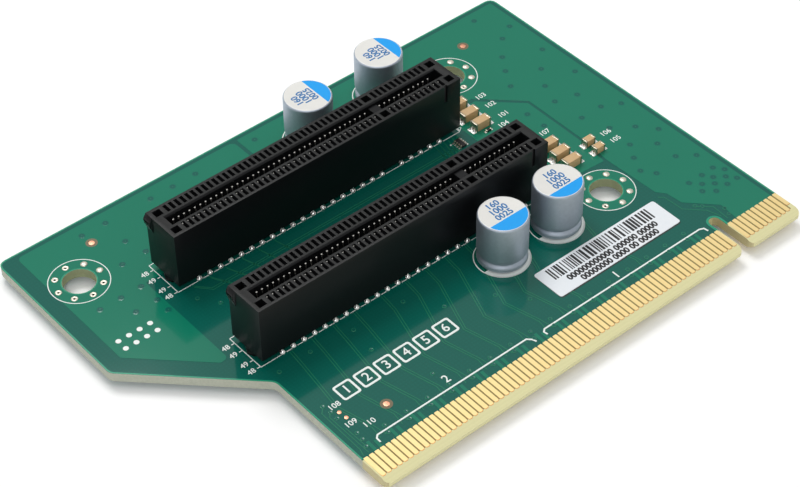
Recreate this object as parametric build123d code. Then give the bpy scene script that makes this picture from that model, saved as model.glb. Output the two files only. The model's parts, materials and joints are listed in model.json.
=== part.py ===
"""Riser card: a circuit board with a long gold edge connector at the front, two upright card
slots, four round capacitors and a few chip parts.

Millimetres, +Z up. The card lies flat with its edge connector towards -Y. The origin is below
the middle of the board, on the plane that the slots' locating posts stand on. Places on the
board are given as (u, v): u along the front edge from the middle of the key notch, v back from
the front edge.
"""
import os

from build123d import *

# Board
BOARD_THICKNESS = 1.6
SIDE_OVERHANG = 17.15       # beyond the left end of the edge connector
BACK_MARGIN = 19.65         # behind the middle of the rear slot
CORNER_RADIUS = 1.6
TONGUE_RADIUS = 1.0         # front corners, at the sides and at the key notch
TONGUE_CORNER_SIDES = 16    # flat sides of a whole turn round such a corner
SIDE_CUT_BACK = 42.2        # where the slanted edge meets the left edge, from the front
SIDE_CUT_RADIUS = 1.8       # fillets at both ends of the slanted edge

# Edge connector
CONTACT_PITCH = 1.0
KEY_GAP = 3.0               # between the contacts on the two sides of a key
RIGHT_FINGER_COUNT = 11
LEFT_FINGER_COUNT = 71
FINGER_WIDTH = 0.7
FINGER_TIP = 1.4            # from the front edge
FINGER_TOP = 5.6            # from the front edge
FINGER_THICKNESS = 0.05
SHORT_FINGER_SETBACK = 1.0
SHORT_NUMBERS_TOP = (1,)
SHORT_NUMBERS_UNDERSIDE = (17, 31, 48, 81)
MARGIN_RIGHT = 0.45         # last finger's middle to the side of the tongue
MARGIN_LEFT = 0.65
NOTCH_WIDTH = 1.9
NOTCH_DEPTH = 8.1
BEVEL_DEPTH = 1.3
BEVEL_DROP = 0.47

# Mounting holes
MOUNT_HOLE_RADIUS = 2.65
LEFT_HOLE = (7.45, 8.3)     # from the left edge, and behind the middle of the rear slot
REAR_HOLE = (19.55, 8.35)   # from the right edge, and behind the middle of the rear slot
FRONT_HOLE = (19.55, 23.45)     # from the right edge and from the front edge

# Card slots
SLOT_KEY_U = -30.2          # middle of the slots' key
FRONT_SLOT_V = 32.2         # middle of the front slot
SLOT_SPACING = 20.35        # from there to the middle of the rear slot
SLOT_WIDTH = 7.2
SLOT_HEIGHT = 11.25         # top face above the board
SLOT_STANDOFF = 1.2         # underside of the housing above the board
RIGHT_SLOT_CONTACT_COUNT = 11
LEFT_SLOT_CONTACT_COUNT = 38
SLOT_END = 3.0              # last contact's middle to the end of the housing
GROOVE_WIDTH = 1.9
GROOVE_END = 1.5            # groove beyond the last contact's middle
GROOVE_FLOOR = 3.0          # above the board
GROOVE_LEAD_IN = 0.25
KEY_WIDTH = 1.6
KEY_DROP = 0.6              # top of the key below the top face
WINDOW_WIDTH = 0.58
WINDOW_LENGTH = 1.6
WINDOW_DEPTH = 2.4
WINDOW_MIDDLE = 2.35        # from the middle of the slot
POCKET_SIZE = 1.35
POCKET_FROM_END = 1.35      # pocket's middle from the end of the housing
END_GROOVE_WIDTH = 0.6
END_GROOVE_DEPTH = 0.3
END_GROOVE_FOOT = 8.0       # above the board
END_GROOVE_FROM_END = 3.0
END_NUB_REACH = 0.75
END_NUB_WIDTH = 1.6
END_NUB_PROFILE = (3.1, 1.6, 0.8)   # foot, lower and upper corner below the top face
POST_RADIUS = 1.1
POST_CLEARANCE = 0.1
POST_REACH = 1.3            # below the board
POST_FROM_LEFT_END = 1.5
POST_SIDES = 8              # flat sides of the posts and their holes
BOSS_RADIUS = 1.6

# Slot contacts and their solder joints
BLADE_WIDTH = 0.5
BLADE_TOP = 1.3             # below the top face
BLADE_CREST = 4.2
BLADE_FOOT = 6.8
BLADE_BULGE = 0.35          # into the groove
OUTER_ROW = 3.1             # tail rows from the middle of the slot
INNER_ROW = 1.1
JOINT_RADIUS = 0.55
JOINT_SIDES = 3
JOINT_REACH = 1.1           # below the board

# Round capacitors
CAN_RADIUS = 4.0
CAN_HEIGHT = 9.05
CAN_LIFT = 0.25
CAN_RIM = 0.35
CRIMP_DEPTH = 0.35
CRIMP_HEIGHT = 1.15         # narrowest place above the board
CRIMP_SPAN = 0.42
LEAD_RADIUS = 0.3
LEAD_SIDES = 6              # flat sides of the leads and their holes
LEAD_SPACING = 3.5
LEAD_CLEARANCE = 0.1
LEAD_REACH = 1.0            # below the board
CAPACITORS = {              # the slot beside each, u, distance behind the middle of that slot, leads' turn
    "front_left": ("front", -30.1, -9.3, 90),
    "front_right": ("front", -18.85, -9.3, 90),
    "rear_left": ("rear", -35.0, 11.2, 0),
    "rear_right": ("rear", -19.5, 12.25, 0),
}

# Chip parts: length, width, height, terminal length
LARGE_CHIP = (3.2, 1.6, 1.6, 0.5)
SMALL_CHIP = (2.0, 1.25, 1.3, 0.4)
TINY_CHIP = (1.0, 0.5, 0.4, 0.25)
CHIP_INSET = 0.03           # ceramic inside the terminals' faces
CHIPS = {                   # size, the slot beside each, u, and distance behind the middle of that slot
    "rear_chip_capacitor_1": (LARGE_CHIP, "rear", -12.15, -4.68),
    "rear_chip_capacitor_2": (LARGE_CHIP, "rear", -12.15, -1.81),
    "rear_chip_capacitor_3": (LARGE_CHIP, "rear", -12.15, 1.05),
    "front_chip_capacitor_1": (LARGE_CHIP, "front", -7.6, -0.85),
    "front_chip_capacitor_2": (LARGE_CHIP, "front", -7.6, 1.8),
    "front_chip_capacitor_3": (LARGE_CHIP, "front", -7.6, 4.45),
    "small_chip_capacitor_1": (SMALL_CHIP, "front", -2.0, -1.2),
    "small_chip_capacitor_2": (SMALL_CHIP, "front", -2.0, 1.05),
    "chip_resistor": (TINY_CHIP, "rear", -11.95, -6.35),
}
NETWORK_PLACE = ("rear", -17.55, -5.8)
NETWORK_BODY = (0.8, 2.0, 0.4)
NETWORK_PITCH = 0.51
NETWORK_TERMINAL = (0.25, 0.28, 0.45)
NETWORK_TERMINAL_COUNT = 4       # on each side

# Label
LABEL_SIZE = (25.4, 6.15)
LABEL_PLACE = (-16.6, 13.72)
LABEL_THICKNESS = 0.1
LABEL_CORNER = 0.4

# Worked out from the sizes above
RIGHT_U = KEY_GAP / 2 + (RIGHT_FINGER_COUNT - 1) * CONTACT_PITCH + MARGIN_RIGHT
TONGUE_LEFT_U = -KEY_GAP / 2 - (LEFT_FINGER_COUNT - 1) * CONTACT_PITCH - MARGIN_LEFT
LEFT_U = TONGUE_LEFT_U - SIDE_OVERHANG
SLOT_V = {"front": FRONT_SLOT_V, "rear": FRONT_SLOT_V + SLOT_SPACING}
BOARD_LENGTH = RIGHT_U - LEFT_U
BOARD_DEPTH = SLOT_V["rear"] + BACK_MARGIN
LEFT, RIGHT = -BOARD_LENGTH / 2, BOARD_LENGTH / 2
FRONT, BACK = -BOARD_DEPTH / 2, BOARD_DEPTH / 2
BOARD_BOTTOM = POST_REACH
BOARD_TOP = BOARD_BOTTOM + BOARD_THICKNESS
NOTCH_X = RIGHT - RIGHT_U
TONGUE_LEFT = NOTCH_X + TONGUE_LEFT_U
MOUNT_HOLES = (
    (LEFT_U + LEFT_HOLE[0], SLOT_V["rear"] + LEFT_HOLE[1]),
    (RIGHT_U - REAR_HOLE[0], SLOT_V["rear"] + REAR_HOLE[1]),
    (RIGHT_U - FRONT_HOLE[0], FRONT_HOLE[1]),
)
SLOT_RIGHT = KEY_GAP / 2 + (RIGHT_SLOT_CONTACT_COUNT - 1) * CONTACT_PITCH + SLOT_END
SLOT_LEFT = -KEY_GAP / 2 - (LEFT_SLOT_CONTACT_COUNT - 1) * CONTACT_PITCH - SLOT_END
SLOT_LENGTH = SLOT_RIGHT - SLOT_LEFT
SLOT_MIDDLE = (SLOT_RIGHT + SLOT_LEFT) / 2
POSTS = (0, SLOT_LEFT + POST_FROM_LEFT_END)

STANDING = (Align.CENTER, Align.CENTER, Align.MIN)
HANGING = (Align.CENTER, Align.CENTER, Align.MAX)


def on_board(u, v, w=0):
    """A place on the board, w above its top face."""
    return Pos(NOTCH_X + u, FRONT + v, BOARD_TOP + w)


def by_slot(slot, u, behind):
    """A place on the board, measured behind the middle of a slot."""
    return on_board(u, SLOT_V[slot] + behind)


def capacitor_place(slot, u, behind, turn):
    """A capacitor's place on the board, turned so that X runs through its two leads."""
    return by_slot(slot, u, behind) * Rot(0, 0, turn)


def contact_places(right, left):
    """Distance of each contact from its key, numbered from the right end."""
    places = [KEY_GAP / 2 + (right - 1 - n) * CONTACT_PITCH for n in range(right)]
    return places + [-KEY_GAP / 2 - n * CONTACT_PITCH for n in range(left)]


def slot_places():
    """Each slot contact's number and its distance from the slot's key."""
    return list(enumerate(contact_places(RIGHT_SLOT_CONTACT_COUNT, LEFT_SLOT_CONTACT_COUNT), start=1))


def front_corner(inward):
    """What is cut away to round a front corner of the tongue; inward is -1 or 1 along the edge."""
    half = TONGUE_RADIUS / 2
    corner = Pos(inward * half, half) * Rectangle(TONGUE_RADIUS, TONGUE_RADIUS)
    curve = RegularPolygon(TONGUE_RADIUS, TONGUE_CORNER_SIDES, major_radius=False)
    return corner - Pos(inward * TONGUE_RADIUS, TONGUE_RADIUS) * Rot(0, 0, 180 / TONGUE_CORNER_SIDES) * curve


def circuit_board():
    """The board: outline with the slanted side cut, key notch, bevelled front edge and holes."""
    cut_foot = FRONT + SIDE_CUT_BACK - (TONGUE_LEFT - LEFT)
    outline = FilletPolyline(
        (TONGUE_LEFT, FRONT),
        (RIGHT, FRONT),
        (RIGHT, BACK),
        (LEFT, BACK),
        (LEFT, FRONT + SIDE_CUT_BACK),
        (TONGUE_LEFT, cut_foot),
        radius=2 * (0,) + 2 * (CORNER_RADIUS,) + 2 * (SIDE_CUT_RADIUS,),
        close=True,
    )
    board = Pos(0, 0, BOARD_BOTTOM) * extrude(make_face(outline), BOARD_THICKNESS)

    notch = Rectangle(NOTCH_WIDTH, NOTCH_DEPTH - NOTCH_WIDTH / 2, align=(Align.CENTER, Align.MIN))
    notch += Pos(0, NOTCH_DEPTH - NOTCH_WIDTH / 2) * Circle(NOTCH_WIDTH / 2)
    holes = on_board(0, 0, -BOARD_THICKNESS) * notch
    for u, inward in ((TONGUE_LEFT_U, 1), (-NOTCH_WIDTH / 2, -1), (NOTCH_WIDTH / 2, 1), (RIGHT_U, -1)):
        holes += on_board(u, 0, -BOARD_THICKNESS) * front_corner(inward)
    for u, v in MOUNT_HOLES:
        holes += on_board(u, v, -BOARD_THICKNESS) * Circle(MOUNT_HOLE_RADIUS)
    under = Pos(0, 0, -BOARD_THICKNESS)
    for slot in SLOT_V:
        for post in POSTS:
            place = by_slot(slot, SLOT_KEY_U + post, 0) * under
            holes += place * RegularPolygon(POST_RADIUS + POST_CLEARANCE, POST_SIDES, major_radius=False)
    for capacitor in CAPACITORS.values():
        for side in (-1, 1):
            place = capacitor_place(*capacitor) * Pos(side * LEAD_SPACING / 2, 0, 0) * under
            holes += place * RegularPolygon(LEAD_RADIUS + LEAD_CLEARANCE, LEAD_SIDES, major_radius=False)
    board -= extrude(holes, BOARD_THICKNESS)

    for face, inward in ((BOARD_TOP, -1), (BOARD_BOTTOM, 1)):
        corner = Polyline(
            (FRONT, face),
            (FRONT + BEVEL_DEPTH, face),
            (FRONT, face + inward * BEVEL_DROP),
            close=True,
        )
        bevel = extrude(Plane.YZ * make_face(corner), BOARD_LENGTH / 2, both=True)
        board -= bevel
    return board


def edge_fingers(height, short_fingers):
    """One side's row of gold fingers, with its short fingers set back from the front edge."""
    row = []
    for number, u in enumerate(contact_places(RIGHT_FINGER_COUNT, LEFT_FINGER_COUNT), start=1):
        tip = FINGER_TIP + (SHORT_FINGER_SETBACK if number in short_fingers else 0)
        blade = Box(FINGER_WIDTH, FINGER_TOP - tip, FINGER_THICKNESS, align=STANDING)
        row.append(on_board(u, (FINGER_TOP + tip) / 2, height) * blade)
    return Compound(row)


def slot_windows():
    """A row of windows, one over each contact, whose long walls close to a line at the foot."""
    window = Polyline((-WINDOW_WIDTH / 2, 0), (WINDOW_WIDTH / 2, 0), (0, -WINDOW_DEPTH), close=True)
    row = Sketch() + [Pos(s, 0) * make_face(window) for number, s in slot_places()]
    return extrude(Plane.XZ * row, WINDOW_LENGTH / 2, both=True)


def slot_pockets():
    """The square pockets in line with a row of windows, at both ends and beside the key."""
    pocket = Box(POCKET_SIZE, POCKET_SIZE, WINDOW_DEPTH, align=HANGING)
    places = (SLOT_LEFT + POCKET_FROM_END, 0, SLOT_RIGHT - POCKET_FROM_END)
    return Part() + [Pos(s, 0, 0) * pocket for s in places]


def slot_groove():
    """The card groove on both sides of the key, with a lead-in along its mouth."""
    groove_left = SLOT_LEFT + SLOT_END - GROOVE_END
    groove_right = SLOT_RIGHT - SLOT_END + GROOVE_END
    length = groove_right - groove_left
    middle = (groove_right + groove_left) / 2
    depth = SLOT_HEIGHT - GROOVE_FLOOR
    groove = Pos(middle, 0, SLOT_HEIGHT) * Box(length, GROOVE_WIDTH, depth, align=HANGING)
    groove -= Pos(0, 0, SLOT_HEIGHT - KEY_DROP) * Box(KEY_WIDTH, GROOVE_WIDTH, depth, align=HANGING)
    half = GROOVE_WIDTH / 2
    mouth = Polyline(
        (-half - GROOVE_LEAD_IN, SLOT_HEIGHT),
        (half + GROOVE_LEAD_IN, SLOT_HEIGHT),
        (half, SLOT_HEIGHT - GROOVE_LEAD_IN),
        (-half, SLOT_HEIGHT - GROOVE_LEAD_IN),
        close=True,
    )
    lead_in = Pos(middle, 0, 0) * extrude(Plane.YZ * make_face(mouth), length / 2, both=True)
    return groove + lead_in


def end_nub():
    """The small catch that stands out of the left end, at the back of the top."""
    foot, lower, upper = END_NUB_PROFILE
    outer = SLOT_LEFT - END_NUB_REACH
    profile = Polyline(
        (SLOT_LEFT, SLOT_HEIGHT),
        (outer, SLOT_HEIGHT - upper),
        (outer, SLOT_HEIGHT - lower),
        (SLOT_LEFT, SLOT_HEIGHT - foot),
        close=True,
    )
    return Pos(0, SLOT_WIDTH / 2, 0) * extrude(Plane.XZ * make_face(profile), END_NUB_WIDTH)


def slot_housing():
    """A slot housing about its key, on the board's top face at z = 0."""
    body = Pos(SLOT_MIDDLE, 0, SLOT_STANDOFF) * Box(
        SLOT_LENGTH, SLOT_WIDTH, SLOT_HEIGHT - SLOT_STANDOFF, align=STANDING
    )
    body -= slot_groove()
    for side in (-1, 1):
        row = Pos(0, side * WINDOW_MIDDLE, SLOT_HEIGHT)
        body -= row * slot_windows()
        body -= row * slot_pockets()
    body -= Pos(SLOT_RIGHT - END_GROOVE_FROM_END, -SLOT_WIDTH / 2, END_GROOVE_FOOT) * Box(
        END_GROOVE_WIDTH, 2 * END_GROOVE_DEPTH, SLOT_HEIGHT, align=STANDING
    )
    body += end_nub()
    boss = extrude(RegularPolygon(BOSS_RADIUS, POST_SIDES), SLOT_STANDOFF)
    boss += extrude(RegularPolygon(POST_RADIUS, POST_SIDES), -BOARD_THICKNESS - POST_REACH)
    for post in POSTS:
        body += Pos(post, 0, 0) * boss
    return body


def contact_blades(side):
    """The contact blades along one wall of the groove: a sloping lead-in that tapers to the foot."""
    wall = side * GROOVE_WIDTH / 2
    crest = wall - side * BLADE_BULGE
    half = BLADE_WIDTH / 2
    lead_in = Polyline(
        (-half, wall, SLOT_HEIGHT - BLADE_TOP),
        (half, wall, SLOT_HEIGHT - BLADE_TOP),
        (half, crest, SLOT_HEIGHT - BLADE_CREST),
        (-half, crest, SLOT_HEIGHT - BLADE_CREST),
        close=True,
    )
    foot = Vertex(0, wall, SLOT_HEIGHT - BLADE_FOOT)
    blade = loft([make_face(lead_in).face(), foot]).solid()
    return Compound([Pos(s, 0, 0) * blade for number, s in slot_places()])


def solder_cone(height):
    """A solder joint: a pyramid that narrows towards the tip of its tail."""
    base = RegularPolygon(JOINT_RADIUS, JOINT_SIDES)
    return loft([base.face(), Vertex(0, 0, height)]).solid()


def tail_rows(rows):
    """Places of the contact tails: even numbers in the outer rows, odd ones in the inner rows."""
    outer, inner = rows
    for number, s in slot_places():
        for side in (-1, 1):
            row = outer if number % 2 == 0 else inner
            if row:
                yield Pos(s, side * row, 0)


def upper_joints():
    """The solder cones in sight along both long sides, between board and housing."""
    cone = solder_cone(SLOT_STANDOFF)
    return Compound([place * cone for place in tail_rows((OUTER_ROW, None))])


def lower_joints():
    """The solder cones of every tail, under the board."""
    cone = Pos(0, 0, -BOARD_THICKNESS) * solder_cone(-JOINT_REACH)
    return Compound([place * cone for place in tail_rows((OUTER_ROW, INNER_ROW))])


def capacitor_can():
    """A capacitor's can about its own axis, crimped in above its base."""
    profile = Polyline(
        (0, CAN_LIFT),
        (CAN_RADIUS, CAN_LIFT),
        (CAN_RADIUS - CRIMP_DEPTH, CRIMP_HEIGHT),
        (CAN_RADIUS, CRIMP_HEIGHT + CRIMP_SPAN),
        (CAN_RADIUS, CAN_HEIGHT - CAN_RIM),
        (CAN_RADIUS - CAN_RIM, CAN_HEIGHT),
        (0, CAN_HEIGHT),
        close=True,
    )
    return revolve(Plane.XZ * make_face(profile), Axis.Z)


def capacitor_leads():
    """A capacitor's two leads, through the board."""
    length = CAN_LIFT + BOARD_THICKNESS + LEAD_REACH
    lead = Pos(0, 0, CAN_LIFT) * extrude(RegularPolygon(LEAD_RADIUS, LEAD_SIDES), -length)
    return Compound([Pos(side * LEAD_SPACING / 2, 0, 0) * lead for side in (-1, 1)])


def chip_body(size):
    """A chip part's ceramic, between its terminals."""
    length, width, height, terminal = size
    body = Box(length - 2 * terminal, width - 2 * CHIP_INSET, height - 2 * CHIP_INSET, align=STANDING)
    return Pos(0, 0, CHIP_INSET) * body


def chip_terminals(size):
    """A chip part's two metal end caps."""
    length, width, height, terminal = size
    cap = Box(terminal, width, height, align=STANDING)
    return Compound([Pos(side * (length - terminal) / 2, 0, 0) * cap for side in (-1, 1)])


def network_terminals():
    """The resistor network's metal terminals along its two long sides."""
    length, width, height = NETWORK_TERMINAL
    cap = Box(length, width, height, align=STANDING)
    reach = (NETWORK_BODY[0] + length) / 2
    first = -(NETWORK_TERMINAL_COUNT - 1) / 2 * NETWORK_PITCH
    return Compound([
        Pos(side * reach, first + n * NETWORK_PITCH, 0) * cap
        for side in (-1, 1)
        for n in range(NETWORK_TERMINAL_COUNT)
    ])


def label():
    """The paper label on the board."""
    return extrude(chamfer(Rectangle(*LABEL_SIZE).vertices(), LABEL_CORNER), LABEL_THICKNESS)


def all_parts():
    """Every sub-part in its place, by name."""
    finger_underside = -BOARD_THICKNESS - FINGER_THICKNESS
    parts = {
        "circuit_board": circuit_board(),
        "edge_fingers_top": edge_fingers(0, SHORT_NUMBERS_TOP),
        "edge_fingers_underside": edge_fingers(finger_underside, SHORT_NUMBERS_UNDERSIDE),
        "label": on_board(*LABEL_PLACE) * label(),
        "resistor_network_body": by_slot(*NETWORK_PLACE) * Box(*NETWORK_BODY, align=STANDING),
        "resistor_network_terminals": by_slot(*NETWORK_PLACE) * network_terminals(),
    }
    slot_pieces = {
        "housing": slot_housing(),
        "contacts_near": contact_blades(-1),
        "contacts_far": contact_blades(1),
        "upper_solder": upper_joints(),
        "lower_solder": lower_joints(),
    }
    for slot in SLOT_V:
        for piece, solid in slot_pieces.items():
            parts[f"{slot}_slot_{piece}"] = by_slot(slot, SLOT_KEY_U, 0) * solid
    can, leads = capacitor_can(), capacitor_leads()
    for name, place in CAPACITORS.items():
        parts[f"{name}_capacitor_can"] = capacitor_place(*place) * can
        parts[f"{name}_capacitor_leads"] = capacitor_place(*place) * leads
    for name, (size, *place) in CHIPS.items():
        parts[f"{name}_body"] = by_slot(*place) * chip_body(size)
        parts[f"{name}_terminals"] = by_slot(*place) * chip_terminals(size)
    return parts


os.makedirs("parts", exist_ok=True)
for node, shape in all_parts().items():
    export_step(shape, f"parts/{node}.step")
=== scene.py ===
"""Looks of the riser card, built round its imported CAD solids.

Places on the board are (u, v) in millimetres: u along the front edge from the middle of the key
notch, v back from the front edge. Heights are millimetres above the board's upper face, or out
from its underside where a piece lies there.
"""
import json
import math
import random

import bmesh
import bpy
from mathutils import Matrix, Vector
from mathutils.geometry import tessellate_polygon


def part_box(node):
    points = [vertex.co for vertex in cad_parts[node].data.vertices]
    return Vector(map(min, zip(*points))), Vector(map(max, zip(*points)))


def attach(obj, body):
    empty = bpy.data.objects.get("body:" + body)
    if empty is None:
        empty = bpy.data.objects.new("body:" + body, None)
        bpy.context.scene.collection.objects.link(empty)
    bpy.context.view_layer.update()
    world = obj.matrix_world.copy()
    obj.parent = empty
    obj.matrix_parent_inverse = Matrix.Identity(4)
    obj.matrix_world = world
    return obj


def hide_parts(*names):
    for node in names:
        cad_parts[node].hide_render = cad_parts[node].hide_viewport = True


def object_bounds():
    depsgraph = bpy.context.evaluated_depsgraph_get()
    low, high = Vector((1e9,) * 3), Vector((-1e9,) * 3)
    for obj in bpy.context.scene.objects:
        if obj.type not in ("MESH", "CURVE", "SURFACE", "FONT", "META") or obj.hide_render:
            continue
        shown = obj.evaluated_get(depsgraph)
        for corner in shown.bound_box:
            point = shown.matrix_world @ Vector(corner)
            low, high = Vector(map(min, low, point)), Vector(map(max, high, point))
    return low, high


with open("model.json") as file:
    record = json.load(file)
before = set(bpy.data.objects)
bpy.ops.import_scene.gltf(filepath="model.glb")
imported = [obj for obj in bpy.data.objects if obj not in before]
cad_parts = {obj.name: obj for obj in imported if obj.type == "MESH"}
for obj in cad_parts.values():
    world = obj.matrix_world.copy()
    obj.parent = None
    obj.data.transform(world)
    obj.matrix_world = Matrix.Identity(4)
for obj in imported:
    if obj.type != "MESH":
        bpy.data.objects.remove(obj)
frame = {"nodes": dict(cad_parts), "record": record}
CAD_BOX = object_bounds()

MM = 0.001
UPPER, UNDER = 1, -1        # the two faces of the board

# Board, from the frame
RIGHT_U = 11.95             # its right edge, from the middle of the key notch
BOARD_LOW, BOARD_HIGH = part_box("circuit_board")
LEFT_U = RIGHT_U - (BOARD_HIGH.x - BOARD_LOW.x) / MM
BACK_V = (BOARD_HIGH.y - BOARD_LOW.y) / MM
ORIGIN = Vector((BOARD_HIGH.x / MM - RIGHT_U, BOARD_LOW.y / MM))
FACE_HEIGHT = {UPPER: BOARD_HIGH.z / MM, UNDER: BOARD_LOW.z / MM}

# Outline of the board
CORNER_RADIUS = 1.6
SIDE_CUT_RADIUS = 1.8
TONGUE_LEFT_U = -72.15
SIDE_CUT_BACK = 42.2
SIDE_CUT_FOOT = SIDE_CUT_BACK - (TONGUE_LEFT_U - LEFT_U)
NOTCH_HALF_WIDTH = 0.95
NOTCH_DEPTH = 8.1
MASK_EDGE_V = 5.4           # in front of it the laminate is bare

# Mounting holes, from the record
BORES = [mount for mount in frame["record"]["mounts"] if mount["kind"] == "bore"]
HOLES = [(bore["pos_m"][0] / MM - ORIGIN.x, bore["pos_m"][1] / MM - ORIGIN.y) for bore in BORES]
HOLE_RADIUS = BORES[0]["dims"]["r_mm"]
HOLE_MARGIN = 0.2           # from a hole to the wide copper round it
HOLE_SEGMENTS = 48

# Layers on the board: how far each stands out of its face
GAP_HEIGHT = 0.01
RIM_HEIGHT = 0.02
TRACE_HEIGHT = 0.025
POUR_HEIGHT = 0.03
OPENING_HEIGHT = 0.034
PAD_HEIGHT = 0.045
INK_HEIGHT = 0.05

# Contacts of the edge connector and the slots
CONTACT_PITCH = 1.0
KEY_GAP = 3.0
FINGERS_RIGHT, FINGERS_LEFT = 11, 71
SLOT_CONTACTS_RIGHT, SLOT_CONTACTS_LEFT = 11, 38
SLOT_KEY_U = -30.2
SLOT_HALF_WIDTH = 3.6

SLOTS = ("front", "rear")
CAPACITORS = ("front_left", "front_right", "rear_left", "rear_right")


def spot(u, v, height, face=UPPER):
    """A point in metres, that height out from a face of the board."""
    return Vector((ORIGIN.x + u, ORIGIN.y + v, FACE_HEIGHT[face] + face * height)) * MM


def node_box(node):
    """A CAD node's corners as (u, v, height) in millimetres."""
    low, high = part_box(node)
    shift = Vector((ORIGIN.x, ORIGIN.y, FACE_HEIGHT[UPPER]))
    return low / MM - shift, high / MM - shift


def node_middle(node):
    """u and v of the middle of a CAD node."""
    low, high = node_box(node)
    return Vector(((low.x + high.x) / 2, (low.y + high.y) / 2))


def slot_middle(slot):
    """v of the middle of a slot."""
    return node_middle(f"{slot}_slot_housing").y


def contact_places(right, left):
    """Distance of each contact from its key, numbered from the right end."""
    places = [KEY_GAP / 2 + (right - 1 - n) * CONTACT_PITCH for n in range(right)]
    return places + [-KEY_GAP / 2 - n * CONTACT_PITCH for n in range(left)]


def slot_contacts():
    """u of every contact of a slot, numbered from the right end."""
    return [SLOT_KEY_U + s for s in contact_places(SLOT_CONTACTS_RIGHT, SLOT_CONTACTS_LEFT)]


# Outlines on the board

def arc(u, v, radius, turns):
    """Points on a circle at those turns, in radians."""
    return [(u + radius * math.cos(a), v + radius * math.sin(a)) for a in turns]


def circle(u, v, radius, count=32):
    """Points all round a circle."""
    return arc(u, v, radius, [2 * math.pi * n / count for n in range(count)])


def rounded(corners, radius, steps=4):
    """An outline with its corners rounded; radius is one value or a list with one for each corner."""
    radii = radius if isinstance(radius, list) else [radius] * len(corners)
    outline = []
    for n, corner in enumerate(corners):
        corner = Vector(corner)
        before = (Vector(corners[n - 1]) - corner).normalized()
        after = (Vector(corners[(n + 1) % len(corners)]) - corner).normalized()
        reach = radii[n] / math.tan(before.angle(after) / 2)
        start, end = corner + before * reach, corner + after * reach
        for step in range(steps + 1):
            t = step / steps
            outline.append(tuple(start.lerp(corner, t).lerp(corner.lerp(end, t), t)))
    return outline


def rectangle(u, v, far_u, far_v):
    """The rectangle between two opposite corners."""
    (left, right), (front, back) = sorted((u, far_u)), sorted((v, far_v))
    return [(left, front), (right, front), (right, back), (left, back)]


def strip(points, width):
    """Outline of a line of that width through the points, with mitred bends."""
    points = [Vector(p) for p in points]
    runs = [(b - a).normalized() for a, b in zip(points, points[1:])]
    left, right = [], []
    for n, point in enumerate(points):
        before, after = runs[max(n - 1, 0)], runs[min(n, len(runs) - 1)]
        along = (before + after).normalized()
        across = Vector((-along.y, along.x))
        reach = width / 2 / across.dot(Vector((-after.y, after.x)))
        left.append(tuple(point + across * reach))
        right.append(tuple(point - across * reach))
    return left + right[::-1]


def inset_strip(edge, near, far):
    """A strip between two distances inside an edge of the board, which goes round to the left."""
    sides = []
    for reach in (near, far):
        side = []
        for n, place in enumerate(edge):
            before = Vector(edge[max(n - 1, 0)])
            after = Vector(edge[min(n + 1, len(edge) - 1)])
            along = (after - before).normalized()
            side.append((place[0] - along.y * reach, place[1] + along.x * reach))
        sides.append(side)
    return sides[0] + sides[1][::-1]


# Mesh building

DOUBLES = 0.001         # points closer than this are one point


def paint(faces, finish):
    """Gives faces one of their piece's materials."""
    for face in faces:
        face.material_index = finish


def slab(bm, loops, height, face=UPPER, finish=0, base=0.0):
    """A flat sheet from its base up to a height: its outline, then the outlines of its holes."""
    points = [p for loop in loops for p in loop]
    low = [bm.verts.new(spot(u, v, base, face)) for u, v in points]
    high = [bm.verts.new(spot(u, v, height, face)) for u, v in points]
    faces = []
    for a, b, c in tessellate_polygon([[Vector((u, v, 0)) for u, v in loop] for loop in loops]):
        faces.append(bm.faces.new((high[a], high[b], high[c])))
        faces.append(bm.faces.new((low[c], low[b], low[a])))
    start = 0
    for loop in loops:
        for n in range(len(loop)):
            a, b = start + n, start + (n + 1) % len(loop)
            faces.append(bm.faces.new((low[a], low[b], high[b], high[a])))
        start += len(loop)
    paint(faces, finish)


def line(bm, path, width, height):
    """A flat line of that width along a path on the upper face."""
    slab(bm, [strip(path, width)], height)


def lathe(bm, profile, u, v, segments=24, face=UPPER, finishes=None):
    """A turned form about an upright axis, from (radius, height) points; a finish for each band."""
    rings = []
    for radius, height in profile:
        around = circle(u, v, radius, segments) if radius else [(u, v)]
        rings.append([bm.verts.new(spot(*place, height, face)) for place in around])
    for band, (lower, upper) in enumerate(zip(rings, rings[1:])):
        for n in range(segments):
            m = (n + 1) % segments
            corners = [ring[k % len(ring)] for ring, k in ((lower, n), (lower, m), (upper, m), (upper, n))]
            made = bm.faces.new(list(dict.fromkeys(corners)))
            made.material_index = finishes[band] if finishes else 0


def bar(bm, outline, u, width):
    """A straight bar of that width along u, about a place: its closed outline of (v, height) points."""
    ends = (u - width / 2, u + width / 2)
    first, last = [[bm.verts.new(spot(end, v, h)) for v, h in outline] for end in ends]
    bm.faces.new(first)
    bm.faces.new(last[::-1])
    for n in range(len(outline)):
        m = (n + 1) % len(outline)
        bm.faces.new((first[n], first[m], last[m], last[n]))


def block(bm, low, high, edge):
    """A box between two (u, v, height) corners with its edges eased by that radius."""
    corners = [(u, v, w) for u in (low[0], high[0]) for v in (low[1], high[1]) for w in (low[2], high[2])]
    verts = [bm.verts.new(spot(*corner)) for corner in corners]
    sides = ((0, 1, 3, 2), (4, 6, 7, 5), (0, 4, 5, 1), (2, 3, 7, 6), (0, 2, 6, 4), (1, 5, 7, 3))
    faces = [bm.faces.new([verts[n] for n in side]) for side in sides]
    edges = list(dict.fromkeys(e for made in faces for e in made.edges))
    bmesh.ops.bevel(bm, geom=edges, offset=edge * MM, segments=2, profile=0.5, affect="EDGES")


FIGURE_SHARE = 0.72         # of the font's size that a figure is high


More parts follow.
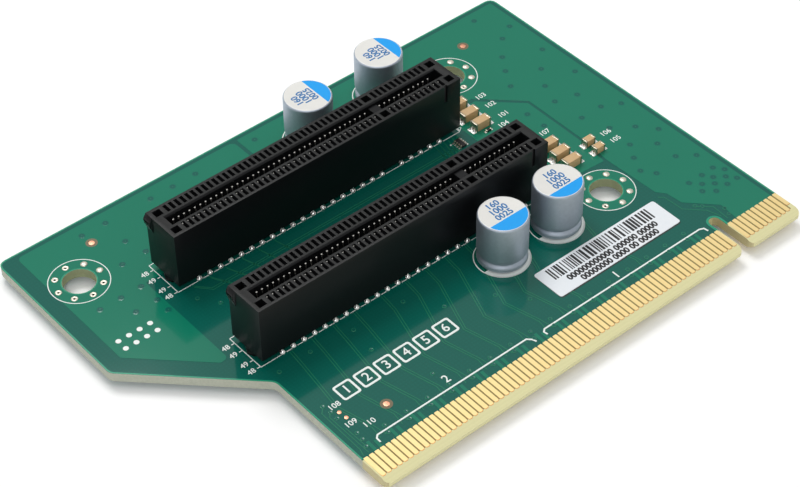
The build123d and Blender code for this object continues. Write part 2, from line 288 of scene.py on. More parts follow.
def digits(bm, text, u, v, size, turn=0.0, height=INK_HEIGHT, base=0.0, finish=0, weight=0.01):
    """Plain numbers in ink, their middle at a place; size is the figures' height, weight thickens them."""
    curve = bpy.data.curves.new("digits", "FONT")
    curve.body = text
    curve.align_x = "CENTER"
    curve.align_y = "CENTER"
    curve.size = size * MM / FIGURE_SHARE
    curve.offset = weight * size * MM
    curve.resolution_u = 3
    curve.extrude = (height - base) * MM / 2
    made = bpy.data.objects.new("digits", curve)
    bpy.context.scene.collection.objects.link(made)
    mesh = bpy.data.meshes.new_from_object(made.evaluated_get(bpy.context.evaluated_depsgraph_get()))
    middle = Matrix.Translation(spot(u, v, (height + base) / 2))
    mesh.transform(middle @ Matrix.Rotation(math.radians(turn), 4, "Z"))
    first = len(bm.faces)
    bm.from_mesh(mesh)
    bm.faces.ensure_lookup_table()
    paint(bm.faces[first:], finish)
    bpy.data.objects.remove(made)
    bpy.data.curves.remove(curve)
    bpy.data.meshes.remove(mesh)


def add_piece(name, bm, materials, replaces=(), smooth=None):
    """Turns a bmesh into a piece that rides on the card; smooth is the angle that stays sharp."""
    bmesh.ops.recalc_face_normals(bm, faces=bm.faces)
    mesh = bpy.data.meshes.new(name)
    bm.to_mesh(mesh)
    bm.free()
    for material in materials:
        mesh.materials.append(material)
    if smooth:
        mesh.polygons.foreach_set("use_smooth", [True] * len(mesh.polygons))
        mesh.set_sharp_from_angle(angle=math.radians(smooth))
    made = bpy.data.objects.new(name, mesh)
    bpy.context.scene.collection.objects.link(made)
    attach(made, "root")
    if replaces:
        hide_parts(*replaces)


# Materials

WEAVE_PITCH = 0.6       # bundles of glass threads
LAYER_PITCH = 0.18      # layers of glass cloth
SAW_MARK = 0.35         # torn fibres on a sawn wall
# Moulding grain, frosting and grit are finer than 0.1 mm. They are drawn as coarse as they need to show.
MOULD_GRAIN = 0.4
GRAIN = 0.3
FLAT_FACE, UPRIGHT_WALL, LEVEL_TOP = 0.985, 0.3, 0.9     # by the upward share of a face's normal
PAINTED_LIT_FRONT_WALL = -0.9       # by its backward share
NOTCH_MARGIN = 0.5      # the notch's wall is looked for this far past its end
TOP_SKIN = 0.1          # a slot's top face is looked for this far below its highest point
HOUSING_IOR = 1.36      # below nylon's usual 1.53, to match the weak sheen of the object's walls
LACQUER_RIPPLE = (0.45, 0.002, 0.25)    # size, depth and strength over the laminate
COPPER_RIPPLE = (0.6, 0.002, 0.3)       # and over wide copper


def srgb(code):
    """Linear colour of an sRGB hex value such as "#2f6a5e"."""
    channels = [int(code[n:n + 2], 16) / 255 for n in (1, 3, 5)]
    linear = [c / 12.92 if c <= 0.04045 else ((c + 0.055) / 1.055) ** 2.4 for c in channels]
    return (*linear, 1.0)


def add_node(tree, kind, inputs=None, **settings):
    """Adds a node and gives its outputs; each input is a value or the socket that feeds it."""
    node = tree.nodes.new("ShaderNode" + kind)
    for name, value in settings.items():
        setattr(node, name, value)
    for name, value in (inputs or {}).items():
        if isinstance(value, bpy.types.NodeSocket):
            tree.links.new(value, node.inputs[name])
        else:
            node.inputs[name].default_value = value
    return node.outputs


def start_material(name):
    """An empty material with its tree and the part's own coordinates in metres."""
    material = bpy.data.materials.new(name)
    material.use_nodes = True
    tree = material.node_tree
    tree.nodes.clear()
    return material, tree, add_node(tree, "TexCoord")["Object"]


def end_material(tree, inputs):
    """The principled shader and the output that close a material."""
    shader = add_node(tree, "BsdfPrincipled", inputs)[0]
    add_node(tree, "OutputMaterial", {"Surface": shader})


def per_mm(size):
    """Texture scale of a pattern whose marks are that many millimetres apart."""
    return 1 / (size * MM)


def per_wave(size):
    """The same for a wave texture, whose bands are a tenth of pi apart at a scale of 1."""
    return per_mm(size) * math.pi / 10


def mottled(tree, place, size, dark, light):
    """A colour that drifts between two shades over marks of that size."""
    drift = add_node(tree, "TexNoise", {"Vector": place, "Scale": per_mm(size), "Detail": 3.0})["Fac"]
    shades = {"Factor": drift, 6: srgb(dark), 7: srgb(light)}
    return add_node(tree, "Mix", shades, data_type="RGBA")[2]


def grained(tree, place, size, depth, strength=1.0):
    """Bump of fine grain: marks of that size in millimetres and that depth."""
    grain = add_node(tree, "TexNoise", {"Vector": place, "Scale": per_mm(size), "Detail": 2.0})["Fac"]
    return add_node(tree, "Bump", {"Height": grain, "Distance": depth * MM, "Strength": strength})["Normal"]


def plain_finish(name, dark, light, size, roughness, metallic=0.0, grain=None):
    """A finish of two close shades, with fine grain where given as (size, depth) or with a strength."""
    material, tree, place = start_material(name)
    inputs = {
        "Base Color": mottled(tree, place, size, dark, light),
        "Roughness": roughness,
        "Metallic": metallic,
    }
    if grain:
        inputs["Normal"] = grained(tree, place, *grain)
    end_material(tree, inputs)
    return material


def weave(tree, place, dark, light):
    """Two shades crossed in bands, as glass cloth shows through the lacquer."""
    threads = {"Vector": place, "Scale": per_wave(WEAVE_PITCH), "Distortion": 1.0, "Detail": 1.0}
    warp, weft = [add_node(tree, "TexWave", threads, bands_direction=way)["Fac"] for way in ("X", "Y")]
    crossed = add_node(tree, "Math", {0: warp, 1: weft}, operation="MULTIPLY")[0]
    shades = {"Factor": crossed, 6: srgb(dark), 7: srgb(light)}
    return add_node(tree, "Mix", shades, data_type="RGBA")[2]


def layered(tree, place, dark, light):
    """Two shades in level bands, as the cloth's layers show on a bevel."""
    layers = {"Vector": place, "Scale": per_wave(LAYER_PITCH), "Distortion": 1.5, "Detail": 2.0}
    bands = add_node(tree, "TexWave", layers, bands_direction="Z")["Fac"]
    shades = {"Factor": bands, 6: srgb(dark), 7: srgb(light)}
    return add_node(tree, "Mix", shades, data_type="RGBA")[2]


def board_material():
    """Glass-epoxy laminate under glossy green lacquer: lacquer on the faces, bare cut edges.

    The eye gets a deep green gloss with a faint cloth weave, a pale straw-coloured bevel with the
    layers of the cloth as fine lines, and greyer sawn walls, which are straw-coloured by the fingers.
    Walls that face the front take the bevel's pale colour, which is painted light.
    """
    material, tree, place = start_material("solder_mask_on_glass_epoxy_laminate")
    axes = add_node(tree, "SeparateXYZ", {0: place})
    facing = add_node(tree, "SeparateXYZ", {0: add_node(tree, "NewGeometry")["Normal"]})
    flatness = add_node(tree, "Math", {0: facing["Z"]}, operation="ABSOLUTE")[0]
    flat = add_node(tree, "Math", {0: flatness, 1: FLAT_FACE}, operation="GREATER_THAN")[0]
    upright = add_node(tree, "Math", {0: flatness, 1: UPRIGHT_WALL}, operation="LESS_THAN")[0]
    # Walls that face the front get the bevel's pale colour: painted light on the front face
    not_painted_lit_front = add_node(tree, "Math", {0: facing["Y"], 1: PAINTED_LIT_FRONT_WALL}, operation="GREATER_THAN")[0]
    wall = add_node(tree, "Math", {0: upright, 1: not_painted_lit_front}, operation="MULTIPLY")[0]

    mask_edge, notch_end = [(ORIGIN.y + v) * MM for v in (MASK_EDGE_V, NOTCH_DEPTH + NOTCH_MARGIN)]
    ahead = add_node(tree, "Math", {0: axes["Y"], 1: mask_edge}, operation="LESS_THAN")[0]
    behind = add_node(tree, "Math", {0: 1.0, 1: ahead}, operation="SUBTRACT")[0]
    lacquered = add_node(tree, "Math", {0: flat, 1: behind}, operation="MULTIPLY")[0]
    notch = {0: axes["X"], 1: ORIGIN.x * MM, 2: 2 * NOTCH_HALF_WIDTH * MM}
    beside = add_node(tree, "Math", notch, operation="COMPARE")[0]
    short = add_node(tree, "Math", {0: axes["Y"], 1: notch_end}, operation="LESS_THAN")[0]
    in_notch = add_node(tree, "Math", {0: beside, 1: short}, operation="MULTIPLY")[0]
    by_fingers = add_node(tree, "Math", {0: ahead, 1: in_notch}, operation="MAXIMUM")[0]

    sawn = mottled(tree, place, SAW_MARK, "#9fa393", "#bdc0af")
    straw = mottled(tree, place, SAW_MARK, "#bcb283", "#cabf94")
    bevel = layered(tree, place, "#dcd7a3", "#dfdaa7")
    lacquer = weave(tree, place, "#065c50", "#086054")
    walls = add_node(tree, "Mix", {"Factor": by_fingers, 6: sawn, 7: straw}, data_type="RGBA")[2]
    cut = add_node(tree, "Mix", {"Factor": wall, 6: bevel, 7: walls}, data_type="RGBA")[2]
    end_material(tree, {
        "Base Color": add_node(tree, "Mix", {"Factor": lacquered, 6: cut, 7: lacquer}, data_type="RGBA")[2],
        "Roughness": add_node(tree, "MapRange", {"Value": lacquered, "To Min": 0.62, "To Max": 0.09})[0],
        "Normal": grained(tree, place, *LACQUER_RIPPLE),
    })
    return material


def housing_material():
    """Black moulded plastic: smooth walls, and a matt top face left by the mould.

    The eye gets near-black walls with a weak sheen, and a dark grey, faintly speckled top on which the
    ribs stand out. The top's grey, lighter than the walls' black, is painted light; its speckle and
    higher roughness are the mould's matt finish.
    """
    material, tree, place = start_material("moulded_black_glass_filled_nylon")
    tilt = add_node(tree, "SeparateXYZ", {0: add_node(tree, "NewGeometry")["Normal"]})["Z"]
    level = add_node(tree, "Math", {0: tilt, 1: LEVEL_TOP}, operation="GREATER_THAN")[0]
    height = add_node(tree, "SeparateXYZ", {0: place})["Z"]
    just_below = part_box(f"{SLOTS[0]}_slot_housing")[1].z - TOP_SKIN * MM
    high = add_node(tree, "Math", {0: height, 1: just_below}, operation="GREATER_THAN")[0]
    top = add_node(tree, "Math", {0: level, 1: high}, operation="MULTIPLY")[0]
    walls = mottled(tree, place, 6.0, "#0e0f11", "#0f1012")
    # The level top's lighter grey is painted light
    matt = mottled(tree, place, MOULD_GRAIN, "#1a1b1b", "#1f2020")
    end_material(tree, {
        "Base Color": add_node(tree, "Mix", {"Factor": top, 6: walls, 7: matt}, data_type="RGBA")[2],
        "Roughness": add_node(tree, "MapRange", {"Value": top, "To Min": 0.34, "To Max": 0.5})[0],
        "IOR": HOUSING_IOR,
    })
    return material


# Lacquer over wide copper: the brightest green, glossy, drifting a little over centimetres
MASK_ON_COPPER = plain_finish(
    "solder_mask_on_copper_pour", "#0b755b", "#0f7960", 12.0, 0.1, grain=COPPER_RIPPLE
)
# Lacquer over a fine trace: a thin, yellower line on the dark board. It also paints the pale point in each
# via's dimple, a painted glint
MASK_ON_TRACE_AND_VIA_GLINT = plain_finish("solder_mask_on_trace_and_painted_via_glint", "#1b7357", "#237a5c", 5.0, 0.12)
# Lacquer over the fingers' short leads: soft green bars in front of the white line
MASK_ON_LEAD = plain_finish("solder_mask_on_finger_lead", "#0e735a", "#12785f", 5.0, 0.12)
# Lacquer sunk into a via: a small dark, bluish spot
MASK_ON_VIA = plain_finish("solder_mask_dimple_over_via", "#085a50", "#0a5f55", 1.0, 0.15)
# Lacquer sloping down to a via: the soft rim of that spot
MASK_BY_VIA = plain_finish("solder_mask_sloping_to_via", "#0b6e59", "#0d725d", 1.0, 0.12)
# Thin lacquer at the board's edges: a bright green line round the outline
MASK_EDGE = plain_finish("solder_mask_thin_at_board_edge", "#23906f", "#2c9a79", 3.0, 0.2)
# Screen-printed ink: dull white lines with a slightly rough skin
INK = plain_finish("screen_printed_white_epoxy_ink", "#e8efea", "#f3f7f4", 0.4, 0.5, grain=(GRAIN, 0.004))
# Hard gold plating: satin warm yellow with broad soft highlights
GOLD = plain_finish("hard_gold_on_nickel", "#f1d99c", "#f5e1aa", 1.5, 0.6, 1.0, (GRAIN, 0.002))
# Bare copper in openings of the lacquer: a salmon dot
COPPER = plain_finish("bare_copper_under_clear_preservative", "#f5a482", "#fbbd9f", 0.4, 0.4, 1.0)
# Copper at the fingers' front ends: a thin orange line
CUT_COPPER = plain_finish("copper_edge_of_plated_finger", "#d89c60", "#e2aa70", 0.4, 0.5, 1.0)
# Glass epoxy round the sighting marks: a dull brown ring
BARE_LAMINATE = plain_finish("bare_glass_epoxy_in_mask_opening", "#6a5d44", "#796b50", 0.3, 0.5)
# Glass epoxy between the fingers: dark brown lines that part the gold
FINGER_GAP = plain_finish("etched_glass_epoxy_between_fingers", "#80703e", "#90804a", 0.6, 0.6)
# Glass epoxy inside the drilled holes: olive, dull and a little torn
DRILLED_LAMINATE = plain_finish("drilled_glass_epoxy", "#98a07a", "#aab088", 0.4, 0.6, grain=(GRAIN, 0.02))
# Tin levelled by hot air: bright, slightly lumpy rings
TIN = plain_finish("hot_levelled_tin", "#dcd6c6", "#e9e4d6", 0.3, 0.45, 1.0, (GRAIN, 0.03))
# Lead-free solder: pale, frosted metal cones
SOLDER = plain_finish("lead_free_solder", "#f0efeb", "#fcfbf8", 0.35, 0.35, 1.0, (GRAIN, 0.02))
# Tin-plated springs: pale glints down in the slots
CONTACT = plain_finish("tin_plated_phosphor_bronze", "#f1eee6", "#fdfbf5", 0.5, 0.3, 1.0)
# Painted shade for the inside of a drilled via: a dark point in its tin ring
PAINTED_HOLE_SHADE = plain_finish("drilled_hole_in_shade", "#15120d", "#201b14", 0.2, 0.8)
# Drawn aluminium: satin blue-grey walls with soft upright reflections
ALUMINIUM = plain_finish(
    "satin_drawn_aluminium_can", "#aeb8c4", "#bec8d3", 0.5, 0.55, 1.0, (GRAIN, 0.006)
)
# Lacquer on a can's top: an even, warm white
LACQUER = plain_finish("pale_lacquer_on_aluminium", "#e0dfda", "#e7e6e1", 1.2, 0.4, grain=(GRAIN, 0.004))
# Ink of a can's field: saturated blue, half matt
BLUE_INK = plain_finish("blue_marking_ink", "#009cee", "#04a4f4", 0.8, 0.3)
# Ink of a can's figures: a darker, duller blue
BLUE_FIGURES = plain_finish("blue_printed_figures", "#1a6ba8", "#2273b0", 0.8, 0.5)
# Rubber bung: a dull black ring under the can
RUBBER = plain_finish("butyl_rubber_bung", "#1b1a19", "#232221", 0.6, 0.7)
# Fired ceramic: chalky tan with fine speckle
CERAMIC = plain_finish("fired_titanate_ceramic", "#c8a474", "#d6b486", 0.35, 0.5, grain=(GRAIN, 0.01))
# Glaze on a resistor: near black with a weak shine
BLACK_GLAZE = plain_finish("black_resistor_glaze", "#191919", "#242424", 0.3, 0.4)
# Tinned end caps: grey-white, softly reflecting metal
TERMINAL = plain_finish("tin_plated_terminal", "#b6ad99", "#c6bda9", 0.3, 0.32, 1.0, (GRAIN, 0.01))
# Coated paper: cool white with a weak sheen
PAPER = plain_finish("coated_label_paper", "#e4e9ee", "#ecf0f3", 2.0, 0.45)
# Painted shadow along the label's near edges: a thin dark sheet out from under it
LABEL_EDGE_SHADOW = plain_finish("painted_shadow_at_label_edge", "#1d2421", "#2a322e", 0.8, 0.6)
# Thermal print: matt black bars and figures
PRINT = plain_finish("thermal_transfer_black", "#111214", "#191a1c", 0.6, 0.5)
HOUSING = housing_material()
BOARD = board_material()


# Board

RIM_INSET, RIM_WIDTH, NOTCH_RIM_WIDTH = 0.02, 0.28, 0.4
HOLE_RIM_INSET = 0.01
SHARP = 0.01            # radius of a corner that isn't rounded
COPPER_LEFT = LEFT_U + 3.0      # edges of the wide copper
COPPER_RIGHT = RIGHT_U - 1.0
COPPER_BACK = BACK_V - 1.0
LEFT_POUR = rounded(
    [
        (COPPER_LEFT, COPPER_BACK), (COPPER_LEFT, 43.7), (-75.85, 33.3), (-74.4, 33.3), (-74.4, 54.0),
        (-44.9, 54.0), (-44.9, COPPER_BACK),
    ],
    [1.0, 0.3, 0.3, 0.9, 0.3, 0.3, 1.2],
)
RIGHT_POUR = rounded(
    [
        (-44.2, COPPER_BACK), (-44.2, 54.0), (-8.6, 54.0), (-1.9, 47.4), (-1.9, 34.6), (-2.5, 28.4),
        (-2.1, 18.0), (-1.0, 16.6), (-0.7, 13.6), (3.5, 9.2), (3.1, 5.5), (COPPER_RIGHT, 5.5),
        (COPPER_RIGHT, COPPER_BACK),
    ],
    0.3,
)
MIDDLE_POUR = rounded(
    [
        (-15.0, 53.2), (-15.0, 45.4), (-14.2, 44.4), (-14.2, 29.4), (-3.0, 28.6), (-2.4, 34.9),
        (-2.4, 47.1), (-8.7, 53.2),
    ],
    0.3,
)
UNDER_POUR = rounded(
    [
        (COPPER_LEFT, COPPER_BACK), (COPPER_LEFT, 43.7), (-70.6, 28.0), (-70.6, 10.5), (-2.2, 10.5),
        (3.1, 6.0), (COPPER_RIGHT, 6.0), (COPPER_RIGHT, COPPER_BACK),
    ],
    0.6,
)
INK_RING_RADIUS = 4.75      # round each mounting hole


def edge_rim():
    """The bright line where the lacquer thins over the board's edge and round the mounting holes."""
    corners = [
        (RIGHT_U, MASK_EDGE_V), (RIGHT_U, BACK_V), (LEFT_U, BACK_V), (LEFT_U, SIDE_CUT_BACK),
        (TONGUE_LEFT_U, SIDE_CUT_FOOT), (TONGUE_LEFT_U, MASK_EDGE_V),
    ]
    radii = [SHARP, CORNER_RADIUS, CORNER_RADIUS, SIDE_CUT_RADIUS, SIDE_CUT_RADIUS, SHARP]
    turns = [math.radians(a) for a in range(180, -1, -15)]
    notch = arc(0, NOTCH_DEPTH - NOTCH_HALF_WIDTH, NOTCH_HALF_WIDTH, turns)
    notch = [(-NOTCH_HALF_WIDTH, MASK_EDGE_V)] + notch + [(NOTCH_HALF_WIDTH, MASK_EDGE_V)]
    bm = bmesh.new()
    for face in (UPPER, UNDER):
        slab(bm, [inset_strip(rounded(corners, radii), RIM_INSET, RIM_WIDTH)], RIM_HEIGHT, face)
        slab(bm, [inset_strip(notch, RIM_INSET, NOTCH_RIM_WIDTH)], RIM_HEIGHT, face)
        for hole in HOLES:
            reaches = (HOLE_RADIUS + HOLE_MARGIN, HOLE_RADIUS + HOLE_RIM_INSET)
            slab(bm, [circle(*hole, reach, HOLE_SEGMENTS) for reach in reaches], POUR_HEIGHT, face)
    add_piece("mask_edge", bm, [MASK_EDGE])


def copper_pours():
    """Wide copper under the lacquer, which reads as the brighter green."""
    bm = bmesh.new()
    left, rear, front = [circle(*hole, HOLE_RADIUS + HOLE_MARGIN) for hole in HOLES]
    slab(bm, [LEFT_POUR, left], POUR_HEIGHT)
    slab(bm, [RIGHT_POUR, rear], POUR_HEIGHT)
    slab(bm, [MIDDLE_POUR], POUR_HEIGHT)
    slab(bm, [circle(*HOLES[2], INK_RING_RADIUS), front], POUR_HEIGHT)
    slab(bm, [UNDER_POUR, left, rear, front], POUR_HEIGHT, UNDER)
    add_piece("copper_pours", bm, [MASK_ON_COPPER])


# Fine copper

TRACE_WIDTH = 0.14
PAIR_SPACING = 0.42
PAIR_OPENING = 0.3          # more on each side, where a pair reaches its fingers
PAIR_START = 0.2            # in front of the slot
PAIR_SHIFTS = (0.4, 1.5)    # to the left of its joint at the first bend, of its fingers at the second
PAIR_BENDS = (25.0, 15.2, 9.2)          # v of the bends
PAIR_END = 7.0
SIGNAL_PAIRS = (            # u at the slot's joint, and u between the pair of fingers that it ends at
    (-66.7, -67.0), (-62.6, -63.0), (-58.6, -59.0), (-54.6, -55.0), (-49.3, -51.0), (-44.6, -47.0),
    (-40.6, -43.0), (-36.6, -39.0), (-32.6, -35.0), (-28.6, -31.0), (-24.6, -27.0), (-14.0, -15.0),
)
LINK_COUNT = 6              # pairs that run along in front of the rear slot
LINK_FIRST = (-67.5, -18.2, 2.6)        # left and right bend, and distance in front of the slot
LINK_STEP = (3.1, -0.9, 1.35)
LINK_START = 0.3            # in front of the slot
LINK_SPREAD = (2.0, 1.6)    # from its bends to its left and right end
SINGLE_TRACES = (           # at the notch, then at the tongue's left corner
    [(-2.65, 16.9), (-1.9, 16.2), (-1.7, 12.5), (0.95, 9.75), (1.7, 7.4)],
    [(-0.05, 11.8), (2.3, 9.7), (2.1, 6.4)],
    [(-70.0, 16.8), (-70.95, 15.9), (-71.1, 7.2), (-71.45, 6.0)],
    [(-69.75, 15.4), (-70.55, 14.65), (-70.5, 6.0)],
    [(-70.1, 11.6), (-70.05, 7.4)],
)
FINGER_LEADS = [-69.5 + 4.0 * n for n in range(17)]     # u of the first lead of each pair
FINGER_LEAD_WIDTH, FINGER_LEAD_LEAN = 0.55, 0.1
FINGER_LEAD_TOPS = ((0.0, 7.7), (1.0, 7.2))             # shift along u, and v
FINGER_VIAS = ((-0.1, 8.45), (-0.55, 7.1))              # the same


def signal_traces():
    """Pairs of fine traces from the front slot to the fingers, runs between the slots, single ones."""
    bm = bmesh.new()
    front, rear = [slot_middle(slot) - SLOT_HALF_WIDTH for slot in SLOTS]
    for start, end in SIGNAL_PAIRS:
        for side in (-1, 1):
            shift = side * PAIR_SPACING / 2
            bends = zip((start - PAIR_SHIFTS[0], end - PAIR_SHIFTS[1], end), PAIR_BENDS)
            path = [(start, front - PAIR_START), *bends, (end + side * PAIR_OPENING, PAIR_END)]
            line(bm, [(u + shift, v) for u, v in path], TRACE_WIDTH, TRACE_HEIGHT)
    for n in range(LINK_COUNT):
        left, right, reach = [first + n * step for first, step in zip(LINK_FIRST, LINK_STEP)]
        along = [(left, rear - reach), (right, rear - reach)]
        ends = [(u, rear - LINK_START) for u in (left - LINK_SPREAD[0], right + LINK_SPREAD[1])]
        path = [ends[0], *along, ends[1]]
        for side in (-1, 1):
            shift = side * PAIR_SPACING / 2
            line(bm, [(u, v + shift) for u, v in path], TRACE_WIDTH, TRACE_HEIGHT)
    for path in SINGLE_TRACES:
        line(bm, path, TRACE_WIDTH, TRACE_HEIGHT)
    add_piece("signal_traces", bm, [MASK_ON_TRACE_AND_VIA_GLINT])


def finger_leads():
    """Short wide leads from every second pair of fingers up to their vias."""
    bm = bmesh.new()
    for first in FINGER_LEADS:
        for shift, top in FINGER_LEAD_TOPS:
            path = [(first + shift, MASK_EDGE_V), (first + shift + FINGER_LEAD_LEAN, top)]
            line(bm, path, FINGER_LEAD_WIDTH, POUR_HEIGHT)
    add_piece("finger_leads", bm, [MASK_ON_LEAD])


# Vias, holes and sighting marks

RIGHT_VIAS = (
    (5.5, 69.3), (9.1, 64.2), (5.9, 62.5), (2.5, 58.8), (0.4, 55.7), (-1.6, 52.2), (9.0, 55.9), (5.3, 52.2),
    (2.7, 48.5), (9.1, 48.0), (5.2, 43.4), (1.2, 44.5), (-4.4, 45.1), (-4.3, 41.2), (1.7, 38.6), (6.0, 38.6),
    (9.1, 37.0), (3.3, 33.8), (6.7, 31.3), (9.1, 28.4), (2.9, 28.7), (1.1, 26.0), (6.4, 26.0), (6.4, 21.9),
    (9.1, 19.9), (-0.3, 23.1), (1.2, 21.0),
)
CORNER_VIAS = (
    (3.4, 16.0), (6.3, 16.0), (8.9, 16.1), (10.0, 14.6), (7.3, 14.5), (8.9, 13.3), (10.0, 11.9), (4.8, 14.5),
    (6.4, 13.3), (7.8, 11.9), (3.6, 13.3), (5.3, 11.9),
)
LEFT_VIAS = (
    (-41.9, 69.4), (-54.1, 69.0), (-58.6, 68.9), (-62.9, 68.9), (-71.5, 68.9), (-75.9, 68.9), (-71.5, 63.5),
    (-70.4, 59.6), (-74.8, 59.6), (-75.4, 53.8), (-79.1, 53.8), (-82.9, 53.8), (-79.1, 49.9), (-75.2, 49.9),
    (-75.2, 47.1),
)
FRONT_VIAS = (
    (-64.6, 26.5), (-70.5, 26.3), (-57.6, 21.0), (-57.0, 25.8), (-47.7, 25.5), (-43.7, 20.7), (-54.0, 11.5),
    (-70.5, 46.2), (-68.4, 43.2), (-36.4, 17.5), (-33.0, 13.5), (0.3, 11.7), (1.1, 10.9), (3.4, 8.3),
    (3.0, 7.0), (-70.0, 16.9), (-69.8, 15.3), (-69.8, 13.8), (-69.45, 9.85),
)
# Turned forms as (radius, height) points, with a finish for each band
DIMPLE = [(0.62, 0.0), (0.61, 0.036), (0.46, 0.045), (0.24, 0.05), (0.1, 0.04), (0.0, 0.045)]
# The last band, the middle of each dimple, takes the trace colour as a painted glint
DIMPLE_FINISHES = [1, 1, 0, 0, 2]
RAISED_RING = [(0.38, 0.0), (0.36, 0.05), (0.25, 0.06), (0.15, 0.03), (0.0, 0.03)]
RAISED_RING_FINISHES = [2, 2, 0, 0]
OPEN_VIA = [(0.56, 0.0), (0.54, 0.05), (0.42, 0.11), (0.26, 0.09), (0.18, 0.03), (0.0, 0.03)]
OPEN_VIA_FINISHES = [0, 0, 0, 0, 1]
FILLED_VIA = [(0.58, 0.0), (0.56, 0.06), (0.42, 0.14), (0.26, 0.19), (0.12, 0.2), (0.0, 0.2)]
VIA_SEGMENTS, FRONT_VIA_SEGMENTS, FINGER_VIA_SEGMENTS = 18, 14, 12
RING_VIA_CIRCLE = 3.75
RING_VIA_COUNT = 8
FILLED_RING_VIAS = ((0, 1), (0, 1, 2, 3, 4, 7), (0, 1, 2, 3, 4, 6, 7))     # of each mounting hole
HOLE_SKIN = 0.03
SIGHTING_MARKS = ((-75.63, 66.64), (-0.52, 65.4), (-62.78, 11.36))
SIGHTING_MARK_RADIUS, SIGHTING_MARK_OPENING = 0.5, 0.95
TEST_POINTS = ((-68.9, 14.5), (-68.74, 13.09))
TEST_POINT_RADIUS = 0.34
COPPER_DOT_EDGE = ((0.0, 0.0), (0.02, 0.05), (0.1, 0.06))      # in from its rim, and height


def vias():
    """Lacquered vias: a dimple in the wide copper, a raised ring among the fine traces."""
    bm = bmesh.new()
    for u, v in RIGHT_VIAS + CORNER_VIAS + LEFT_VIAS:
        for face in (UPPER, UNDER):
            lathe(bm, DIMPLE, u, v, VIA_SEGMENTS, face, DIMPLE_FINISHES)
    for u, v in FRONT_VIAS:
        lathe(bm, RAISED_RING, u, v, FRONT_VIA_SEGMENTS, finishes=RAISED_RING_FINISHES)
    for first in FINGER_LEADS:
        for shift, v in FINGER_VIAS:
            lathe(bm, RAISED_RING, first + shift, v, FINGER_VIA_SEGMENTS, finishes=RAISED_RING_FINISHES)
    add_piece("vias", bm, [MASK_ON_VIA, MASK_BY_VIA, MASK_ON_TRACE_AND_VIA_GLINT], smooth=40)


def hole_walls():
    """The drilled walls of the mounting holes, a thin skin inside the board's own."""
    bm = bmesh.new()
    depth = FACE_HEIGHT[UPPER] - FACE_HEIGHT[UNDER]
    inner = HOLE_RADIUS - HOLE_SKIN
    skin = [(HOLE_RADIUS, -depth), (inner, -depth), (inner, 0.0), (HOLE_RADIUS, 0.0)]
    for hole in HOLES:
        lathe(bm, skin + skin[:1], *hole, HOLE_SEGMENTS)
    bmesh.ops.remove_doubles(bm, verts=bm.verts, dist=DOUBLES * MM)
    add_piece("hole_walls", bm, [DRILLED_LAMINATE], smooth=50)


def hole_rings():
    """The tinned vias round each mounting hole, some of them filled."""
    bm = bmesh.new()
    for hole, filled in zip(HOLES, FILLED_RING_VIAS):
        for n, (u, v) in enumerate(circle(*hole, RING_VIA_CIRCLE, RING_VIA_COUNT)):
            if n in filled:
                lathe(bm, FILLED_VIA, u, v, VIA_SEGMENTS)
            else:
                lathe(bm, OPEN_VIA, u, v, VIA_SEGMENTS, finishes=OPEN_VIA_FINISHES)
            lathe(bm, OPEN_VIA, u, v, VIA_SEGMENTS, UNDER, OPEN_VIA_FINISHES)
    add_piece("hole_ring_vias", bm, [TIN, PAINTED_HOLE_SHADE], smooth=50)


def copper_dot(bm, u, v, radius, segments):
    """A flat dot of bare copper with an eased edge."""
    edge = [(radius - inset, height) for inset, height in COPPER_DOT_EDGE]
    lathe(bm, edge + [(0.0, edge[-1][1])], u, v, segments)


def sighting_marks():
    """Bare copper sighting marks and test points, in openings of the lacquer."""
    bm = bmesh.new()
    for u, v in SIGHTING_MARKS:
        opening = [circle(u, v, radius) for radius in (SIGHTING_MARK_OPENING, SIGHTING_MARK_RADIUS)]
        slab(bm, opening, OPENING_HEIGHT, finish=1)
        copper_dot(bm, u, v, SIGHTING_MARK_RADIUS, 24)
    for u, v in TEST_POINTS:
        copper_dot(bm, u, v, TEST_POINT_RADIUS, 20)
    add_piece("sighting_marks", bm, [COPPER, BARE_LAMINATE], smooth=50)


# Edge connector

FINGER_WIDTH = 0.74
FINGER_TIP_V, FINGER_TOP_V = 1.4, 5.6
FINGER_HEIGHT = 0.05
FINGER_RADII = [0.3, 0.3, 0.12, 0.12]       # front corners, then rear
SHORT_FINGER_SETBACK = 1.0
SHORT_UPPER_FINGERS = (1,)
SHORT_UNDER_FINGERS = (17, 31, 48, 81)
COPPER_SIDE, COPPER_FRONT = 0.02, 0.09      # how far a finger's copper shows past its gold
COPPER_LENGTH = 0.8                         # under the gold
COPPER_RADII = [0.3, 0.3, 0.05, 0.05]
COPPER_HEIGHT = 0.03
GAP_OVERLAP = 0.02                          # under the fingers on both sides
GAP_SETBACK = 0.12


def gold_fingers(name, face, short_fingers):
    """One side's gold contact fingers, rounded at the front with a line of copper showing there."""
    bm = bmesh.new()
    half = FINGER_WIDTH / 2
    reach = half + COPPER_SIDE
    for number, u in enumerate(contact_places(FINGERS_RIGHT, FINGERS_LEFT), start=1):
        tip = FINGER_TIP_V + (SHORT_FINGER_SETBACK if number in short_fingers else 0)
        gold = rectangle(u - half, tip, u + half, FINGER_TOP_V)
        slab(bm, [rounded(gold, FINGER_RADII, 3)], FINGER_HEIGHT, face)
        copper = rectangle(u - reach, tip - COPPER_FRONT, u + reach, tip + COPPER_LENGTH)
        slab(bm, [rounded(copper, COPPER_RADII, 3)], COPPER_HEIGHT, face, finish=1)
    add_piece(f"gold_fingers_{name}", bm, [GOLD, CUT_COPPER], [f"edge_fingers_{name}"])


